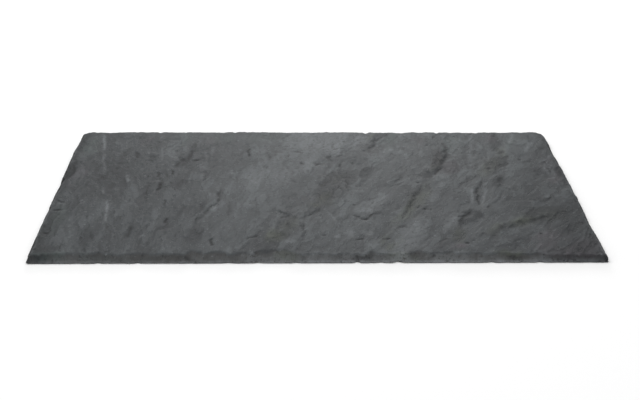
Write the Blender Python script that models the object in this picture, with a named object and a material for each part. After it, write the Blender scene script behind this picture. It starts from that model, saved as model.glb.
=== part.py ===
"""A slate slab: a thin rectangle of riven slate with hand-chipped edges, lying flat.

The slab is one piece of rock. Its top is a cleft face with long ledges, level layers and pits. All round,
a chipped bevel falls from the top to a thin lip at the underside: wide and much flaked along the front, and
narrow along the other edges. The underside is cleft too, and rests on the level part that is left between
its scars.

The origin is on the underside, at the centre of the slab. X runs along the long side, Y across it and Z up.
The sizes below are in millimetres, and shape_slab() turns them into Blender's metres.
"""

import math
from dataclasses import dataclass

import bmesh
import bpy
import numpy as np
from mathutils import noise

MM = 0.001

# Driving dimensions
LENGTH = 400.0
DEPTH = 200.0
THICKNESS = 5.0
LIP_HEIGHT = 1.0
LIP_UNDERCUT = 0.3
FRONT_SKEW = 1.9  # how much further back the front edge is at its right-hand end

# Corners of the outline
BACK_LEFT_CLIP = (8.0, 6.5)  # a broken corner: its size along X and along Y
BACK_RIGHT_RADIUS = 14.0
FRONT_CORNER_RADIUS = 0.9

# The chipped bevel
FRONT_REACH = 3.8  # how far the bevel reaches in where no flake reaches further
BACK_REACH = 1.8
SIDE_REACH = 2.0
BEVEL_HOLLOW = 1.2  # above 1, the bevel is hollow, as flakes leave it
ARRIS_WEAR = 1.4  # the sharp edge between the face and the bevel is worn over this height
FLAKE_STEP = (5.0, 17.0)  # from one flake to the next
FLAKE_WIDTH = (0.55, 0.95)  # half a flake's width, as a share of the step to it
FLAKE_ROUNDNESS = 0.6
BACK_FLAKE_REACH = (1.9, 2.7)
SIDE_FLAKE_REACH = (2.3, 3.8)
BACK_SEED, LEFT_SEED, RIGHT_SEED = 12, 13, 14

# The grain of the cleft faces: it fans out from a far focus in front of the slab
GRAIN_FOCUS = (-120.0, -450.0)
GRAIN_RADIUS = 450.0  # where sizes across the grain are true
UNDULATION = ((0.30, 36.0, 95.0, 3.1), (0.16, 15.0, 42.0, 8.7))  # height, size across and along, seed
LAYER = 0.18  # the height of one layer where the top is split on several levels
LAYER_OCTAVES = ((3.6, 30.0, 85.0, 21.3), (1.7, 13.0, 32.0, 26.8))  # layers, size across and along, seed
LAYER_EDGE = 0.25  # the sloping share of each layer

# The underside, which rests on the level part between its scars
SCAR_DEPTH = 0.45
SCAR_SIZE = (34.0, 88.0, 5.2)  # across and along the grain, and seed
SCAR_LEVEL = 0.12  # the higher, the fewer scars
SCAR_EDGE = 0.09
REST_RADIUS = 55.0  # there are no scars this near the middle

# The mesh
CELL = 4.0
BORDER = 10.0
BORDER_CELLS = 6
TRIANGLES = 9200
LEVEL_WITHIN = 0.06  # a point of the underside this near the level is made truly level


@dataclass(frozen=True)
class Ledge:
    """A step in the cleft face. The low side is on the left as one walks along the path.

    The path is in millimetres. The step is `drop` high and `face` wide, its low side comes back up over
    `reach`, and the high side is lifted into a crest along it.
    """

    path: tuple[tuple[float, float], ...]
    drop: float
    reach: float
    face: float


@dataclass(frozen=True)
class Pit:
    """A hollow, an oval turned by `turn` degrees."""

    x: float
    y: float
    half_length: float
    half_width: float
    turn: float
    depth: float


@dataclass(frozen=True)
class Nick:
    """A notch in an edge, at `at` millimetres along it."""

    at: float
    depth: float
    half_width: float


# Flakes struck off one edge: where each one is along the edge, how far it reaches in, and half its width
Flakes = tuple[tuple[float, float, float], ...]


LEDGES = (
    # the longest ledge, from the back edge towards the front right
    Ledge(((98, 98), (101, 84), (105, 70)), 0.35, 10, 4.0),
    Ledge(((107, 80), (108, 66), (107, 56), (101, 43), (97, 33), (91, 17)), 0.8, 14, 4.5),
    Ledge(((84, 12), (80, 4), (76, -10), (72, -18), (67, -27), (62, -38), (57, -52)), 0.7, 12, 3.5),
    # the ledge from the middle of the back edge
    Ledge(((55, 98), (53, 88), (50, 78), (45, 66), (42, 52)), 0.55, 12, 4.0),
    Ledge(((43, 38), (42, 30), (38, 17), (34, 9), (27, -6)), 0.5, 12, 4.5),
    Ledge(((5, 24), (4, 10), (2, -4)), 0.3, 9, 2.5),
    Ledge(((25, 8), (23, -8)), 0.25, 6, 2.0),
    # the short sharp ledge on the right, with a wedge-shaped scar at its foot
    Ledge(((131, 18), (125, 0), (122, -8), (121, -16), (118, -33)), 0.7, 9, 2.4),
    Ledge(((119, -31), (113, -35), (106, -44), (103, -54), (99, -66)), 0.6, 9, 3.5),
    Ledge(((146, -2), (138, -17), (130, -26), (122, -36)), 0.3, 6, 2.0),
    Ledge(((148, 20), (143, 11), (141, 0)), 0.35, 7, 4.0),
    # the ledge left of the middle, and its branch
    Ledge(((-77, 2), (-75, -8), (-73, -16), (-78, -25), (-83, -33), (-87, -44), (-89, -58)), 0.7, 9, 3.0),
    Ledge(((-72, -12), (-68, -22), (-66, -34), (-65, -46)), 0.35, 6, 2.5),
    # the broken ledges in the middle of the front half
    Ledge(((4, -29), (-3, -36), (-9, -41), (-14, -50)), 0.45, 9, 3.0),
    Ledge(((-12, -55), (-11, -66), (-12, -80)), 0.25, 7, 2.5),
    Ledge(((-16, -66), (-17, -52), (-18, -42), (-26, -35), (-33, -33)), 0.4, 9, 3.0),
    # the band across the front right
    Ledge(((176, -36), (154, -48), (148, -50), (139, -57), (134, -68)), 0.6, 12, 4.5),
    Ledge(((180, -12), (168, -19), (160, -27)), 0.35, 8, 4.0),
    # the ledge along the right edge
    Ledge(((192, 82), (189, 62), (186, 45), (185, 30), (182, 14)), 0.35, 8, 3.5),
    # short ledges on the left
    Ledge(((-94, 80), (-97, 68), (-103, 60), (-111, 48), (-115, 38), (-116, 24)), 0.5, 9, 5.0),
    Ledge(((-126, -30), (-127, -12), (-127, 4), (-124, 10), (-120, 9), (-118, 3)), 0.35, 5, 2.0),
    Ledge(((-98, -26), (-104, -40), (-108, -52), (-114, -64)), 0.4, 6, 3.5),
    Ledge(((-159, 62), (-161, 48), (-162, 34)), 0.3, 8, 4.0),
    # short ledges in the middle
    Ledge(((-54, 68), (-56, 40), (-63, 28), (-66, 12)), 0.25, 6, 3.0),
    Ledge(((-22, 60), (-22, 45), (-26, 34), (-29, 20)), 0.25, 6, 2.5),
    Ledge(((70, 20), (62, 12), (54, 0)), 0.3, 8, 4.0),
)

PITS = (
    Pit(80, -33, 2.4, 1.8, 0, 0.4),
    Pit(85, -34, 2.2, 1.6, 0, 0.4),
    Pit(81, -25, 2.0, 1.5, 0, 0.35),
    Pit(80, 6, 3.0, 2.4, 0, 0.55),
    Pit(31, 41, 2.6, 2.2, 60, 0.4),
    Pit(43, 62, 2.4, 2.0, 60, 0.35),
    Pit(-120, -2, 3.4, 1.7, 80, 0.5),
    Pit(-95, 45, 3.2, 2.6, 0, 0.35),
    Pit(-108, -49, 5.5, 2.8, 75, 0.4),
    Pit(29, -28, 2.2, 1.6, 0, 0.35),
    Pit(30, -75, 4.0, 1.9, 0, 0.45),
    Pit(5, -70, 2.0, 1.6, 0, 0.35),
    Pit(36, -48, 10.0, 2.6, 5, 0.3),
    Pit(50, -75, 4.0, 2.2, 0, 0.4),
    Pit(104, -80, 3.0, 1.8, 0, 0.35),
    Pit(160, -69, 2.6, 2.2, 0, 0.35),
    Pit(167, 46, 2.2, 1.8, 80, 0.35),
    Pit(140, 31, 2.4, 1.8, 0, 0.35),
    Pit(187, 42, 3.2, 2.0, 80, 0.35),
    Pit(127, -31, 2.6, 1.6, 40, 0.35),
    Pit(-192, 26, 16.0, 4.0, 88, 0.5),
    Pit(-191, -23, 7.0, 2.2, -35, 0.45),
    Pit(-191, -34, 6.0, 2.2, -25, 0.45),
    Pit(-192, -68, 5.0, 2.4, -35, 0.45),
    Pit(-195, -88, 4.0, 2.2, -40, 0.45),
)

FRONT_NICKS = (
    Nick(-150, 0.9, 3), Nick(-123, 0.6, 3), Nick(-61, 0.6, 5), Nick(-41, 0.8, 3), Nick(-15, 0.8, 3),
    Nick(27, 1.4, 3), Nick(43, 0.8, 3), Nick(55, 1.5, 4), Nick(119, 0.8, 3), Nick(152, 0.8, 3),
)
BACK_NICKS = (
    Nick(-175, 1.2, 26), Nick(-131, 0.8, 3), Nick(32, 0.9, 18), Nick(45, 1.9, 3.5), Nick(106, 1.7, 2.5),
)
LEFT_NICKS = (Nick(90, 1.2, 24), Nick(8, 0.8, 13), Nick(-31, 0.5, 8), Nick(-98, 0.7, 10))
RIGHT_NICKS = (
    Nick(65, 0.8, 18), Nick(42, 0.45, 14), Nick(-9, 0.3, 7), Nick(-50, 0.8, 22), Nick(-94, 0.5, 9),
)

# The flakes struck off the front edge, which is the most worked
FRONT_FLAKES: Flakes = (
    (-165, 5.8, 40), (-123, 6.8, 15), (-105, 5.8, 14), (-84, 9.0, 8), (-70, 7.4, 10), (-52, 6.6, 9),
    (-30, 9.6, 18), (0, 5.4, 14), (19, 5.4, 8), (37, 6.6, 5), (70, 7.6, 8), (82, 5.5, 6), (90, 6.0, 8),
    (107, 4.6, 12), (127, 5.0, 12), (152, 4.8, 10), (178, 4.8, 16),
)


def smoothstep(value: np.ndarray) -> np.ndarray:
    """Rises smoothly from 0 to 1 as the value does."""
    value = np.clip(value, 0.0, 1.0)
    return value * value * (3.0 - 2.0 * value)


def grain_noise(x: np.ndarray, y: np.ndarray, across: float, along: float, seed: float) -> np.ndarray:
    """Smooth noise between about -1 and 1, with lumps of the given sizes across and along the grain."""
    from_x, from_y = x - GRAIN_FOCUS[0], y - GRAIN_FOCUS[1]
    u = GRAIN_RADIUS * np.arctan2(from_x, from_y) / across
    v = np.hypot(from_x, from_y) / along
    return np.array([noise.noise((a, b, seed)) for a, b in zip(u, v)])


def nick_depth(along: np.ndarray, nicks: tuple[Nick, ...]) -> np.ndarray:
    """How far the nicks cut into an edge."""
    depth = np.zeros_like(along)
    for nick in nicks:
        depth = np.maximum(depth, nick.depth * smoothstep(1.0 - np.abs(along - nick.at) / nick.half_width))
    return depth


def rounded(beyond: np.ndarray, radius: float) -> np.ndarray:
    """How far a rounded corner pulls an edge in, `beyond` millimetres past the start of its arc."""
    beyond = np.clip(beyond, 0.0, radius)
    return radius - np.sqrt(radius * radius - beyond * beyond)


def left_edge(y: np.ndarray) -> np.ndarray:
    """X of the left edge at each Y."""
    clip_x, clip_y = BACK_LEFT_CLIP
    clip = clip_x * np.clip((y - (DEPTH / 2 - clip_y)) / clip_y, 0.0, 1.0)
    corner = rounded(-y - (DEPTH / 2 - FRONT_CORNER_RADIUS), FRONT_CORNER_RADIUS)
    return -LENGTH / 2 + nick_depth(y, LEFT_NICKS) + clip + corner


def right_edge(y: np.ndarray) -> np.ndarray:
    """X of the right edge at each Y."""
    back = rounded(y - (DEPTH / 2 - BACK_RIGHT_RADIUS), BACK_RIGHT_RADIUS)
    front = rounded(FRONT_SKEW - y - (DEPTH / 2 - FRONT_CORNER_RADIUS), FRONT_CORNER_RADIUS)
    return LENGTH / 2 - nick_depth(y, RIGHT_NICKS) - back - front


def front_edge(x: np.ndarray) -> np.ndarray:
    """Y of the front edge at each X."""
    return -DEPTH / 2 + FRONT_SKEW * (x + LENGTH / 2) / LENGTH + nick_depth(x, FRONT_NICKS)


def back_edge(x: np.ndarray) -> np.ndarray:
    """Y of the back edge at each X."""
    return DEPTH / 2 - nick_depth(x, BACK_NICKS)


def struck_flakes(half_length: float, reach: tuple[float, float], seed: int) -> Flakes:
    """Flakes all along an edge: where each one is, how far it reaches in and half its width."""
    rng = np.random.default_rng(seed)
    flakes = []
    at = -half_length
    while at < half_length:
        step = rng.uniform(*FLAKE_STEP)
        at += step
        flakes.append((at, rng.uniform(*reach), step * rng.uniform(*FLAKE_WIDTH)))
    return tuple(flakes)


def bevel_height(inward: np.ndarray, along: np.ndarray, least_reach: float, flakes: Flakes) -> np.ndarray:
    """Height of the chipped bevel of one edge, `inward` millimetres in from the edge."""
    reach = np.full_like(along, least_reach)
    for at, flake_reach, half_width in flakes:
        arc = np.clip(1.0 - ((along - at) / half_width) ** 2, 0.0, 1.0) ** FLAKE_ROUNDNESS
        reach = np.maximum(reach, flake_reach * arc)
    return LIP_HEIGHT + (THICKNESS - LIP_HEIGHT) * (np.maximum(inward, 0.0) / reach) ** BEVEL_HOLLOW


def ledge_height(x: np.ndarray, y: np.ndarray, ledge: Ledge) -> np.ndarray:
    """What a ledge adds to the height of the cleft face."""
    path = np.array(ledge.path, float)
    lengths = np.linalg.norm(np.diff(path, axis=0), axis=1)
    starts = np.concatenate([[0.0], np.cumsum(lengths)])
    nearest = np.full_like(x, np.inf)
    side = np.zeros_like(x)
    along = np.zeros_like(x)
    for (ax, ay), (bx, by), length, start in zip(path[:-1], path[1:], lengths, starts):
        ux, uy = (bx - ax) / length, (by - ay) / length
        on = np.clip((x - ax) * ux + (y - ay) * uy, 0.0, length)
        away = np.hypot(x - ax - on * ux, y - ay - on * uy)
        closer = away < nearest
        nearest = np.where(closer, away, nearest)
        side = np.where(closer, np.sign(ux * (y - ay) - uy * (x - ax)), side)
        along = np.where(closer, (start + on) / starts[-1], along)
    taper = smoothstep(np.minimum(along, 1.0 - along) / 0.22)
    low = np.where(side > 0, nearest, 0.0)
    step = smoothstep(low / ledge.face) * np.exp(-low / ledge.reach)
    crest = 0.3 * np.exp(-nearest / (0.6 * ledge.reach))
    return ledge.drop * taper * (crest - step)


def pit_depth(x: np.ndarray, y: np.ndarray, pit: Pit) -> np.ndarray:
    """How far a pit goes down at each place."""
    turn = math.radians(pit.turn)
    long = ((x - pit.x) * math.cos(turn) + (y - pit.y) * math.sin(turn)) / pit.half_length
    wide = ((y - pit.y) * math.cos(turn) - (x - pit.x) * math.sin(turn)) / pit.half_width
    return pit.depth * smoothstep(1.0 - np.hypot(long, wide))


def layers(x: np.ndarray, y: np.ndarray) -> np.ndarray:
    """Height of the layers that the top is split on: level steps with sloping edges."""
    level = sum(share * grain_noise(x, y, *sizes) for share, *sizes in LAYER_OCTAVES)
    whole = np.floor(level)
    return LAYER * (whole + smoothstep((level - whole - 1.0 + LAYER_EDGE) / LAYER_EDGE))


def top_height(x: np.ndarray, y: np.ndarray) -> np.ndarray:
    """Height of the cleft top face, before its edges are chipped."""
    height = THICKNESS + layers(x, y)
    for swell, size_across, size_along, seed in UNDULATION:
        height += swell * grain_noise(x, y, size_across, size_along, seed)
    for ledge in LEDGES:
        height += ledge_height(x, y, ledge)
    for pit in PITS:
        height -= pit_depth(x, y, pit)
    return height


def chipped_height(x: np.ndarray, y: np.ndarray) -> np.ndarray:
    """Height of the top once its bevels are chipped, with the sharp edge between the two worn."""
    back_flakes = struck_flakes(LENGTH / 2, BACK_FLAKE_REACH, BACK_SEED)
    left_flakes = struck_flakes(DEPTH / 2, SIDE_FLAKE_REACH, LEFT_SEED)
    right_flakes = struck_flakes(DEPTH / 2, SIDE_FLAKE_REACH, RIGHT_SEED)
    bevel = np.minimum.reduce([
        bevel_height(y - front_edge(x), x, FRONT_REACH, FRONT_FLAKES),
        bevel_height(back_edge(x) - y, x, BACK_REACH, back_flakes),
        bevel_height(x - left_edge(y), y, SIDE_REACH, left_flakes),
        bevel_height(right_edge(y) - x, y, SIDE_REACH, right_flakes),
    ])
    face = top_height(x, y)
    worn = ARRIS_WEAR * np.clip(1.0 - np.abs(face - bevel) / ARRIS_WEAR, 0.0, 1.0) ** 2 / 4.0
    return np.minimum(face, bevel) - worn


def underside_height(x: np.ndarray, y: np.ndarray) -> np.ndarray:
    """Height of the underside, which is level apart from its scars."""
    middle = np.clip(2.0 - np.hypot(x, y) / REST_RADIUS, 0.0, 1.0)
    level = grain_noise(x, y, *SCAR_SIZE) - SCAR_LEVEL - middle
    return SCAR_DEPTH * smoothstep(level / SCAR_EDGE)


def stations(across: np.ndarray, cells: int, size: float) -> np.ndarray:
    """Turns even stations from -1 to 1 into millimetres, with closer ones in the border."""
    border_share = 2.0 * BORDER_CELLS / cells
    return np.interp(
        across,
        (-1.0, -1.0 + border_share, 1.0 - border_share, 1.0),
        (-size / 2, -size / 2 + BORDER, size / 2 - BORDER, size / 2),
    )


def shape_slab(mesh: bpy.types.Mesh) -> None:
    """Fills the mesh with the slab: a block of fine cells, with its vertices moved to the rock's faces."""
    cells_x = round((LENGTH - 2 * BORDER) / CELL) + 2 * BORDER_CELLS
    cells_y = round((DEPTH - 2 * BORDER) / CELL) + 2 * BORDER_CELLS
    bm = bmesh.new()
    bmesh.ops.create_grid(bm, x_segments=cells_x, y_segments=cells_y, size=1.0)
    raised = bmesh.ops.extrude_face_region(bm, geom=bm.faces[:], use_keep_orig=True)["geom"]
    top = [item for item in raised if isinstance(item, bmesh.types.BMVert)]
    bmesh.ops.translate(bm, verts=top, vec=(0.0, 0.0, 1.0))
    bmesh.ops.recalc_face_normals(bm, faces=bm.faces[:])
    top_edges = [edge for edge in bm.edges if all(vert.co.z > 0.5 for vert in edge.verts)]
    bmesh.ops.subdivide_edges(bm, edges=top_edges, cuts=1, use_grid_fill=True)

    place = np.array([vert.co for vert in bm.verts])
    is_top = place[:, 2] > 0.5
    on_rim = np.maximum(np.abs(place[:, 0]), np.abs(place[:, 1])) > 1.0 - 1e-6
    y_even = stations(place[:, 1], cells_y, DEPTH)
    x_even = stations(place[:, 0], cells_x, LENGTH)
    x = np.interp(x_even, (-LENGTH / 2, LENGTH / 2), (0.0, 1.0))
    x = left_edge(y_even) + x * (right_edge(y_even) - left_edge(y_even))
    y = np.interp(y_even, (-DEPTH / 2, DEPTH / 2), (0.0, 1.0))
    y = front_edge(x) + y * (back_edge(x) - front_edge(x))

    undercut = np.where(on_rim & ~is_top, LIP_UNDERCUT, 0.0)
    x -= np.sign(x) * undercut
    y -= np.sign(y) * undercut
    z = np.where(is_top, chipped_height(x, y), underside_height(x, y))
    z = np.where(is_top & on_rim, LIP_HEIGHT, z)
    for vert, co in zip(bm.verts, np.stack([x, y, z], axis=1) * MM):
        vert.co = co
    bmesh.ops.triangulate(bm, faces=bm.faces[:])
    bm.to_mesh(mesh)
    bm.free()


def thin_out(slab: bpy.types.Object) -> None:
    """Leaves few faces where the rock is plain, and makes the level part of the underside truly level."""
    decimate = slab.modifiers.new("fewer faces where it is plain", "DECIMATE")
    decimate.decimate_type = "COLLAPSE"
    decimate.ratio = TRIANGLES / len(slab.data.polygons)
    depsgraph = bpy.context.evaluated_depsgraph_get()
    thinned = bpy.data.meshes.new_from_object(slab.evaluated_get(depsgraph))
    slab.modifiers.clear()
    slab.data = thinned
    half_size = (LENGTH / 2 * MM, DEPTH / 2 * MM)
    for vert in thinned.vertices:
        for axis, half in enumerate(half_size):
            vert.co[axis] = max(-half, min(half, vert.co[axis]))
        if vert.co.z < LEVEL_WITHIN * MM:
            vert.co.z = 0.0


def slate_material() -> bpy.types.Material:
    """Riven slate: dark grey, dull, with a slight sheen."""
    material = bpy.data.materials.new("slate")
    material.use_nodes = True
    shader = material.node_tree.nodes["Principled BSDF"]
    shader.inputs["Base Color"].default_value = (0.100, 0.104, 0.108, 1.0)
    shader.inputs["Roughness"].default_value = 0.6
    shader.inputs["Metallic"].default_value = 0.0
    return material


def main() -> None:
    """Empties the scene and builds the slab."""
    for old in list(bpy.data.objects):
        bpy.data.objects.remove(old)
    mesh = bpy.data.meshes.new("slate_slab")
    shape_slab(mesh)
    mesh.materials.append(slate_material())
    slab = bpy.data.objects.new("slate_slab", mesh)
    bpy.context.scene.collection.objects.link(slab)
    thin_out(slab)


main()
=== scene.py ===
"""The looks of a slate slab: the fine surface, finish, floor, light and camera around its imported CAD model.

The slab is one piece of riven slate with hand-chipped edges. SlateSlab models it as one fine mesh in place of
the plain solid, from its CleftFace, ChippedEdges and Underside. Markings and RivenSlate are its colour and
finish, and Studio is the floor, the lamps and the camera.

Places and sizes on the slab are in millimetres, with X along the slab, Y from the front to the back and Z up
from the underside. They turn into Blender's metres where a mesh, a pattern or the camera is made.
"""

import logging
import math
from dataclasses import dataclass
from enum import Enum

import bmesh
import bpy
import numpy as np
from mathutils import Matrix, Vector, noise


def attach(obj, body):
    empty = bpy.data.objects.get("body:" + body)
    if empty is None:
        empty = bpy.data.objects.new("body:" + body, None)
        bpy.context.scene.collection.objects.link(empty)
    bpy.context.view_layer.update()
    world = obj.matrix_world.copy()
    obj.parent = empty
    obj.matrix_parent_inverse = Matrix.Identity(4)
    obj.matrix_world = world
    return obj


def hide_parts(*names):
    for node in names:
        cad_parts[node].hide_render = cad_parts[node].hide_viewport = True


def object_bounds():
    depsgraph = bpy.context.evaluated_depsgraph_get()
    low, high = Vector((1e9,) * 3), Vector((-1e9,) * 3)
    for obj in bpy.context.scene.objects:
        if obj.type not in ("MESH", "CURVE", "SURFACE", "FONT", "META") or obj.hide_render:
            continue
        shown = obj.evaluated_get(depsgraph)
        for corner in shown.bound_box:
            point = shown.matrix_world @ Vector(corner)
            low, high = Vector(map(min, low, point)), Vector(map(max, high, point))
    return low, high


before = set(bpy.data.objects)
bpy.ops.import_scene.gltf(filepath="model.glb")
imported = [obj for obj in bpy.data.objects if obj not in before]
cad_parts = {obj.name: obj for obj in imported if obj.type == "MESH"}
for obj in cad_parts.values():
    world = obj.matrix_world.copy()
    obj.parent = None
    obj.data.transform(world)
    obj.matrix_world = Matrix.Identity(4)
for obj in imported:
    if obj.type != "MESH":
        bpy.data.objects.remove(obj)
CAD_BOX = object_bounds()

logging.basicConfig(level=logging.INFO, format="%(message)s")
log = logging.getLogger("slate_slab")

MM = 0.001
NODE = "slate_slab"
THICKNESS = 5.0  # without the swells, ledges and chips
ENDLESS = 1e6  # a lump so long that noise doesn't change along it
WAVER_SEEDS = (71.3, 83.9)
FLAKE_STEP = (5.0, 17.0)  # from one flake to the next
FLAKE_WIDTH = (0.55, 0.95)  # half of a flake's width, as a share of its step

Path = tuple[tuple[float, float], ...]  # the corners of a line
Waver = tuple[tuple[float, float], ...]  # how far something wanders, and the size of its lumps
Lumps = tuple[float, float, float, float]  # noise: its strength, its sizes across and along, and its seed
Flakes = tuple[tuple[float, float, float], ...]  # where each is along an edge, its reach and its half width


class Side(Enum):
    """One edge of the slab. Each value is the seed of the noise that frays it."""

    LEFT = 1.0
    RIGHT = 2.0
    FRONT = 3.0
    BACK = 4.0


class Tint(Enum):
    """What a mark on the slate does to its colour. Each value names the mesh attribute that holds it."""

    # painted shade, with some dirt, in the hollows of the surface
    HOLLOW_SHADE = "hollow"
    # pale scratches and specks, and painted light: the sheen of the broad band at the back and the lighter
    # front lip and bevel
    PALE = "pale"
    # dark rock, and painted shade on ledge faces, in cracks and in part of the broad tones
    DARK = "dark"
    BROKEN_SKIN_AND_SHADE = "broken"  # dark too, and without the sheen of a whole skin; along ledges and cracks it is painted shade
    TEAL = "teal"
    OLIVE = "olive"
    PLUM = "plum"
    CHIPPED = "chipped"


@dataclass(frozen=True)
class Ledge:
    """A step in the cleft face, `drop` high and `face` wide. The low side is on the left of the path.

    The low side comes back up over `reach`, and the high side is lifted into a crest along it.
    """

    path: Path
    drop: float
    reach: float
    face: float


@dataclass(frozen=True)
class Pit:
    """A hollow, an oval turned by `turn` degrees."""

    x: float
    y: float
    half_length: float
    half_width: float
    turn: float
    depth: float


@dataclass(frozen=True)
class Nick:
    """A notch in an edge, at `at` millimetres along it."""

    at: float
    depth: float
    half_width: float


@dataclass(frozen=True)
class Crack:
    """A fine open line in the cleft face."""

    path: Path
    depth: float
    half_width: float = 0.9


@dataclass(frozen=True)
class Stain:
    """An oval of colour in the slate, turned by `turn` degrees. A low `softness` makes its rim firm."""

    tint: Tint
    x: float
    y: float
    half_length: float
    half_width: float
    turn: float
    strength: float
    softness: float = 1.0


@dataclass(frozen=True)
class Streak:
    """A line of colour in the slate."""

    tint: Tint
    path: Path
    half_width: float
    strength: float


def smoothstep(value: np.ndarray) -> np.ndarray:
    """Rises smoothly from 0 to 1 as the value does."""
    value = np.clip(value, 0.0, 1.0)
    return value * value * (3.0 - 2.0 * value)


def noise_at(x: np.ndarray, y: np.ndarray, size_x: float, size_y: float, seed: float) -> np.ndarray:
    """Smooth noise at points of the slab.

    Args:
        x, y: the points, in millimetres.
        size_x, size_y: how large the lumps are, in millimetres.
        seed: picks the pattern.

    Returns:
        A number between about -1 and 1 for each point.
    """
    return np.array([noise.noise((a, b, seed)) for a, b in zip(x / size_x, y / size_y)])


def oval_distance(x: np.ndarray, y: np.ndarray, oval: Pit | Stain) -> np.ndarray:
    """How far out points are in an oval.

    Args:
        x, y: the points, in millimetres.
        oval: the oval, with its turn in degrees.

    Returns:
        0 for a point at its middle, 1 for one on its rim, and more outside.
    """
    turn = math.radians(oval.turn)
    long = ((x - oval.x) * math.cos(turn) + (y - oval.y) * math.sin(turn)) / oval.half_length
    wide = ((y - oval.y) * math.cos(turn) - (x - oval.x) * math.sin(turn)) / oval.half_width
    return np.hypot(long, wide)


def path_distance(x: np.ndarray, y: np.ndarray, path: Path) -> tuple[np.ndarray, np.ndarray, np.ndarray]:
    """Where points lie by a path.

    Args:
        x, y: the points, in millimetres.
        path: the corners of the path.

    Returns:
        The distance to the path, the side (1 on the left as one walks along it, -1 on the right), and the
        share of the path's length at which it is nearest.
    """
    corners = np.array(path, float)
    lengths = np.linalg.norm(np.diff(corners, axis=0), axis=1)
    starts = np.concatenate([[0.0], np.cumsum(lengths)])
    nearest = np.full_like(x, np.inf)
    side = np.zeros_like(x)
    along = np.zeros_like(x)
    for (ax, ay), (bx, by), length, start in zip(corners[:-1], corners[1:], lengths, starts):
        ux, uy = (bx - ax) / length, (by - ay) / length
        on = np.clip((x - ax) * ux + (y - ay) * uy, 0.0, length)
        away = np.hypot(x - ax - on * ux, y - ay - on * uy)
        closer = away < nearest
        nearest = np.where(closer, away, nearest)
        side = np.where(closer, np.sign(ux * (y - ay) - uy * (x - ax)), side)
        along = np.where(closer, (start + on) / starts[-1], along)
    return nearest, side, along


def wavered(x: np.ndarray, y: np.ndarray, waver: Waver) -> tuple[np.ndarray, np.ndarray]:
    """Shifts points about, so that a line or a patch runs unevenly, as it does in rock.

    Args:
        x, y: the points, in millimetres.
        waver: how far they shift, and the size of the lumps in which they do, largest first.

    Returns:
        The shifted points.
    """
    for shift, size in waver:
        shift_x, shift_y = (shift * noise_at(x, y, size, size, seed) for seed in WAVER_SEEDS)
        x, y = x + shift_x, y + shift_y
    return x, y


def ends_fade(along: np.ndarray, share: float = 0.22) -> np.ndarray:
    """Fades a feature out over this share of its length at each end."""
    return smoothstep(np.minimum(along, 1.0 - along) / share)


def linear(code: str) -> tuple[float, float, float, float]:
    """Turns an sRGB hex colour, such as "#5a5c5e", into the linear colour that Blender's nodes take."""
    channels = [int(code[i : i + 2], 16) / 255 for i in (1, 3, 5)]
    return tuple(c / 12.92 if c <= 0.04045 else ((c + 0.055) / 1.055) ** 2.4 for c in channels) + (1.0,)


def add_node(
    tree: bpy.types.NodeTree,
    kind: str,
    settings: dict[str, object] | None = None,
    links: dict[str | int, object] | None = None,
) -> bpy.types.Node:
    """Adds a node to a material.

    Args:
        tree: the material's nodes.
        kind: the node's type, such as "ShaderNodeTexNoise".
        settings: the node's own settings by name.
        links: for each input, by name or number, the output that feeds it or the value that it is set to.

    Returns:
        The new node.
    """
    node = tree.nodes.new(kind)
    for name, value in (settings or {}).items():
        setattr(node, name, value)
    for name, source in (links or {}).items():
        if isinstance(source, bpy.types.NodeSocket):
            tree.links.new(source, node.inputs[name])
        else:
            node.inputs[name].default_value = source
    return node


@dataclass(frozen=True)
class Grain:
    """The way the slate's minerals lie: in lines that fan out from a far focus in front of the slab."""

    focus: tuple[float, float] = (-120.0, -450.0)
    radius: float = 450.0  # where sizes across the grain are true

    def noise(self, x: np.ndarray, y: np.ndarray, across: float, along: float, seed: float) -> np.ndarray:
        """Smooth noise that is drawn out along the grain.

        Args:
            x, y: the points, in millimetres.
            across, along: how large the lumps are, in millimetres across and along the grain.
            seed: picks the pattern.

        Returns:
            A number between about -1 and 1 for each point.
        """
        from_x, from_y = x - self.focus[0], y - self.focus[1]
        return noise_at(
            self.radius * np.arctan2(from_x, from_y), np.hypot(from_x, from_y), across, along, seed
        )

    def layered(self, x: np.ndarray, y: np.ndarray, layers: tuple[Lumps, ...]) -> np.ndarray:
        """Several layers of noise, one on another."""
        return sum(strength * self.noise(x, y, *lumps) for strength, *lumps in layers)


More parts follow.
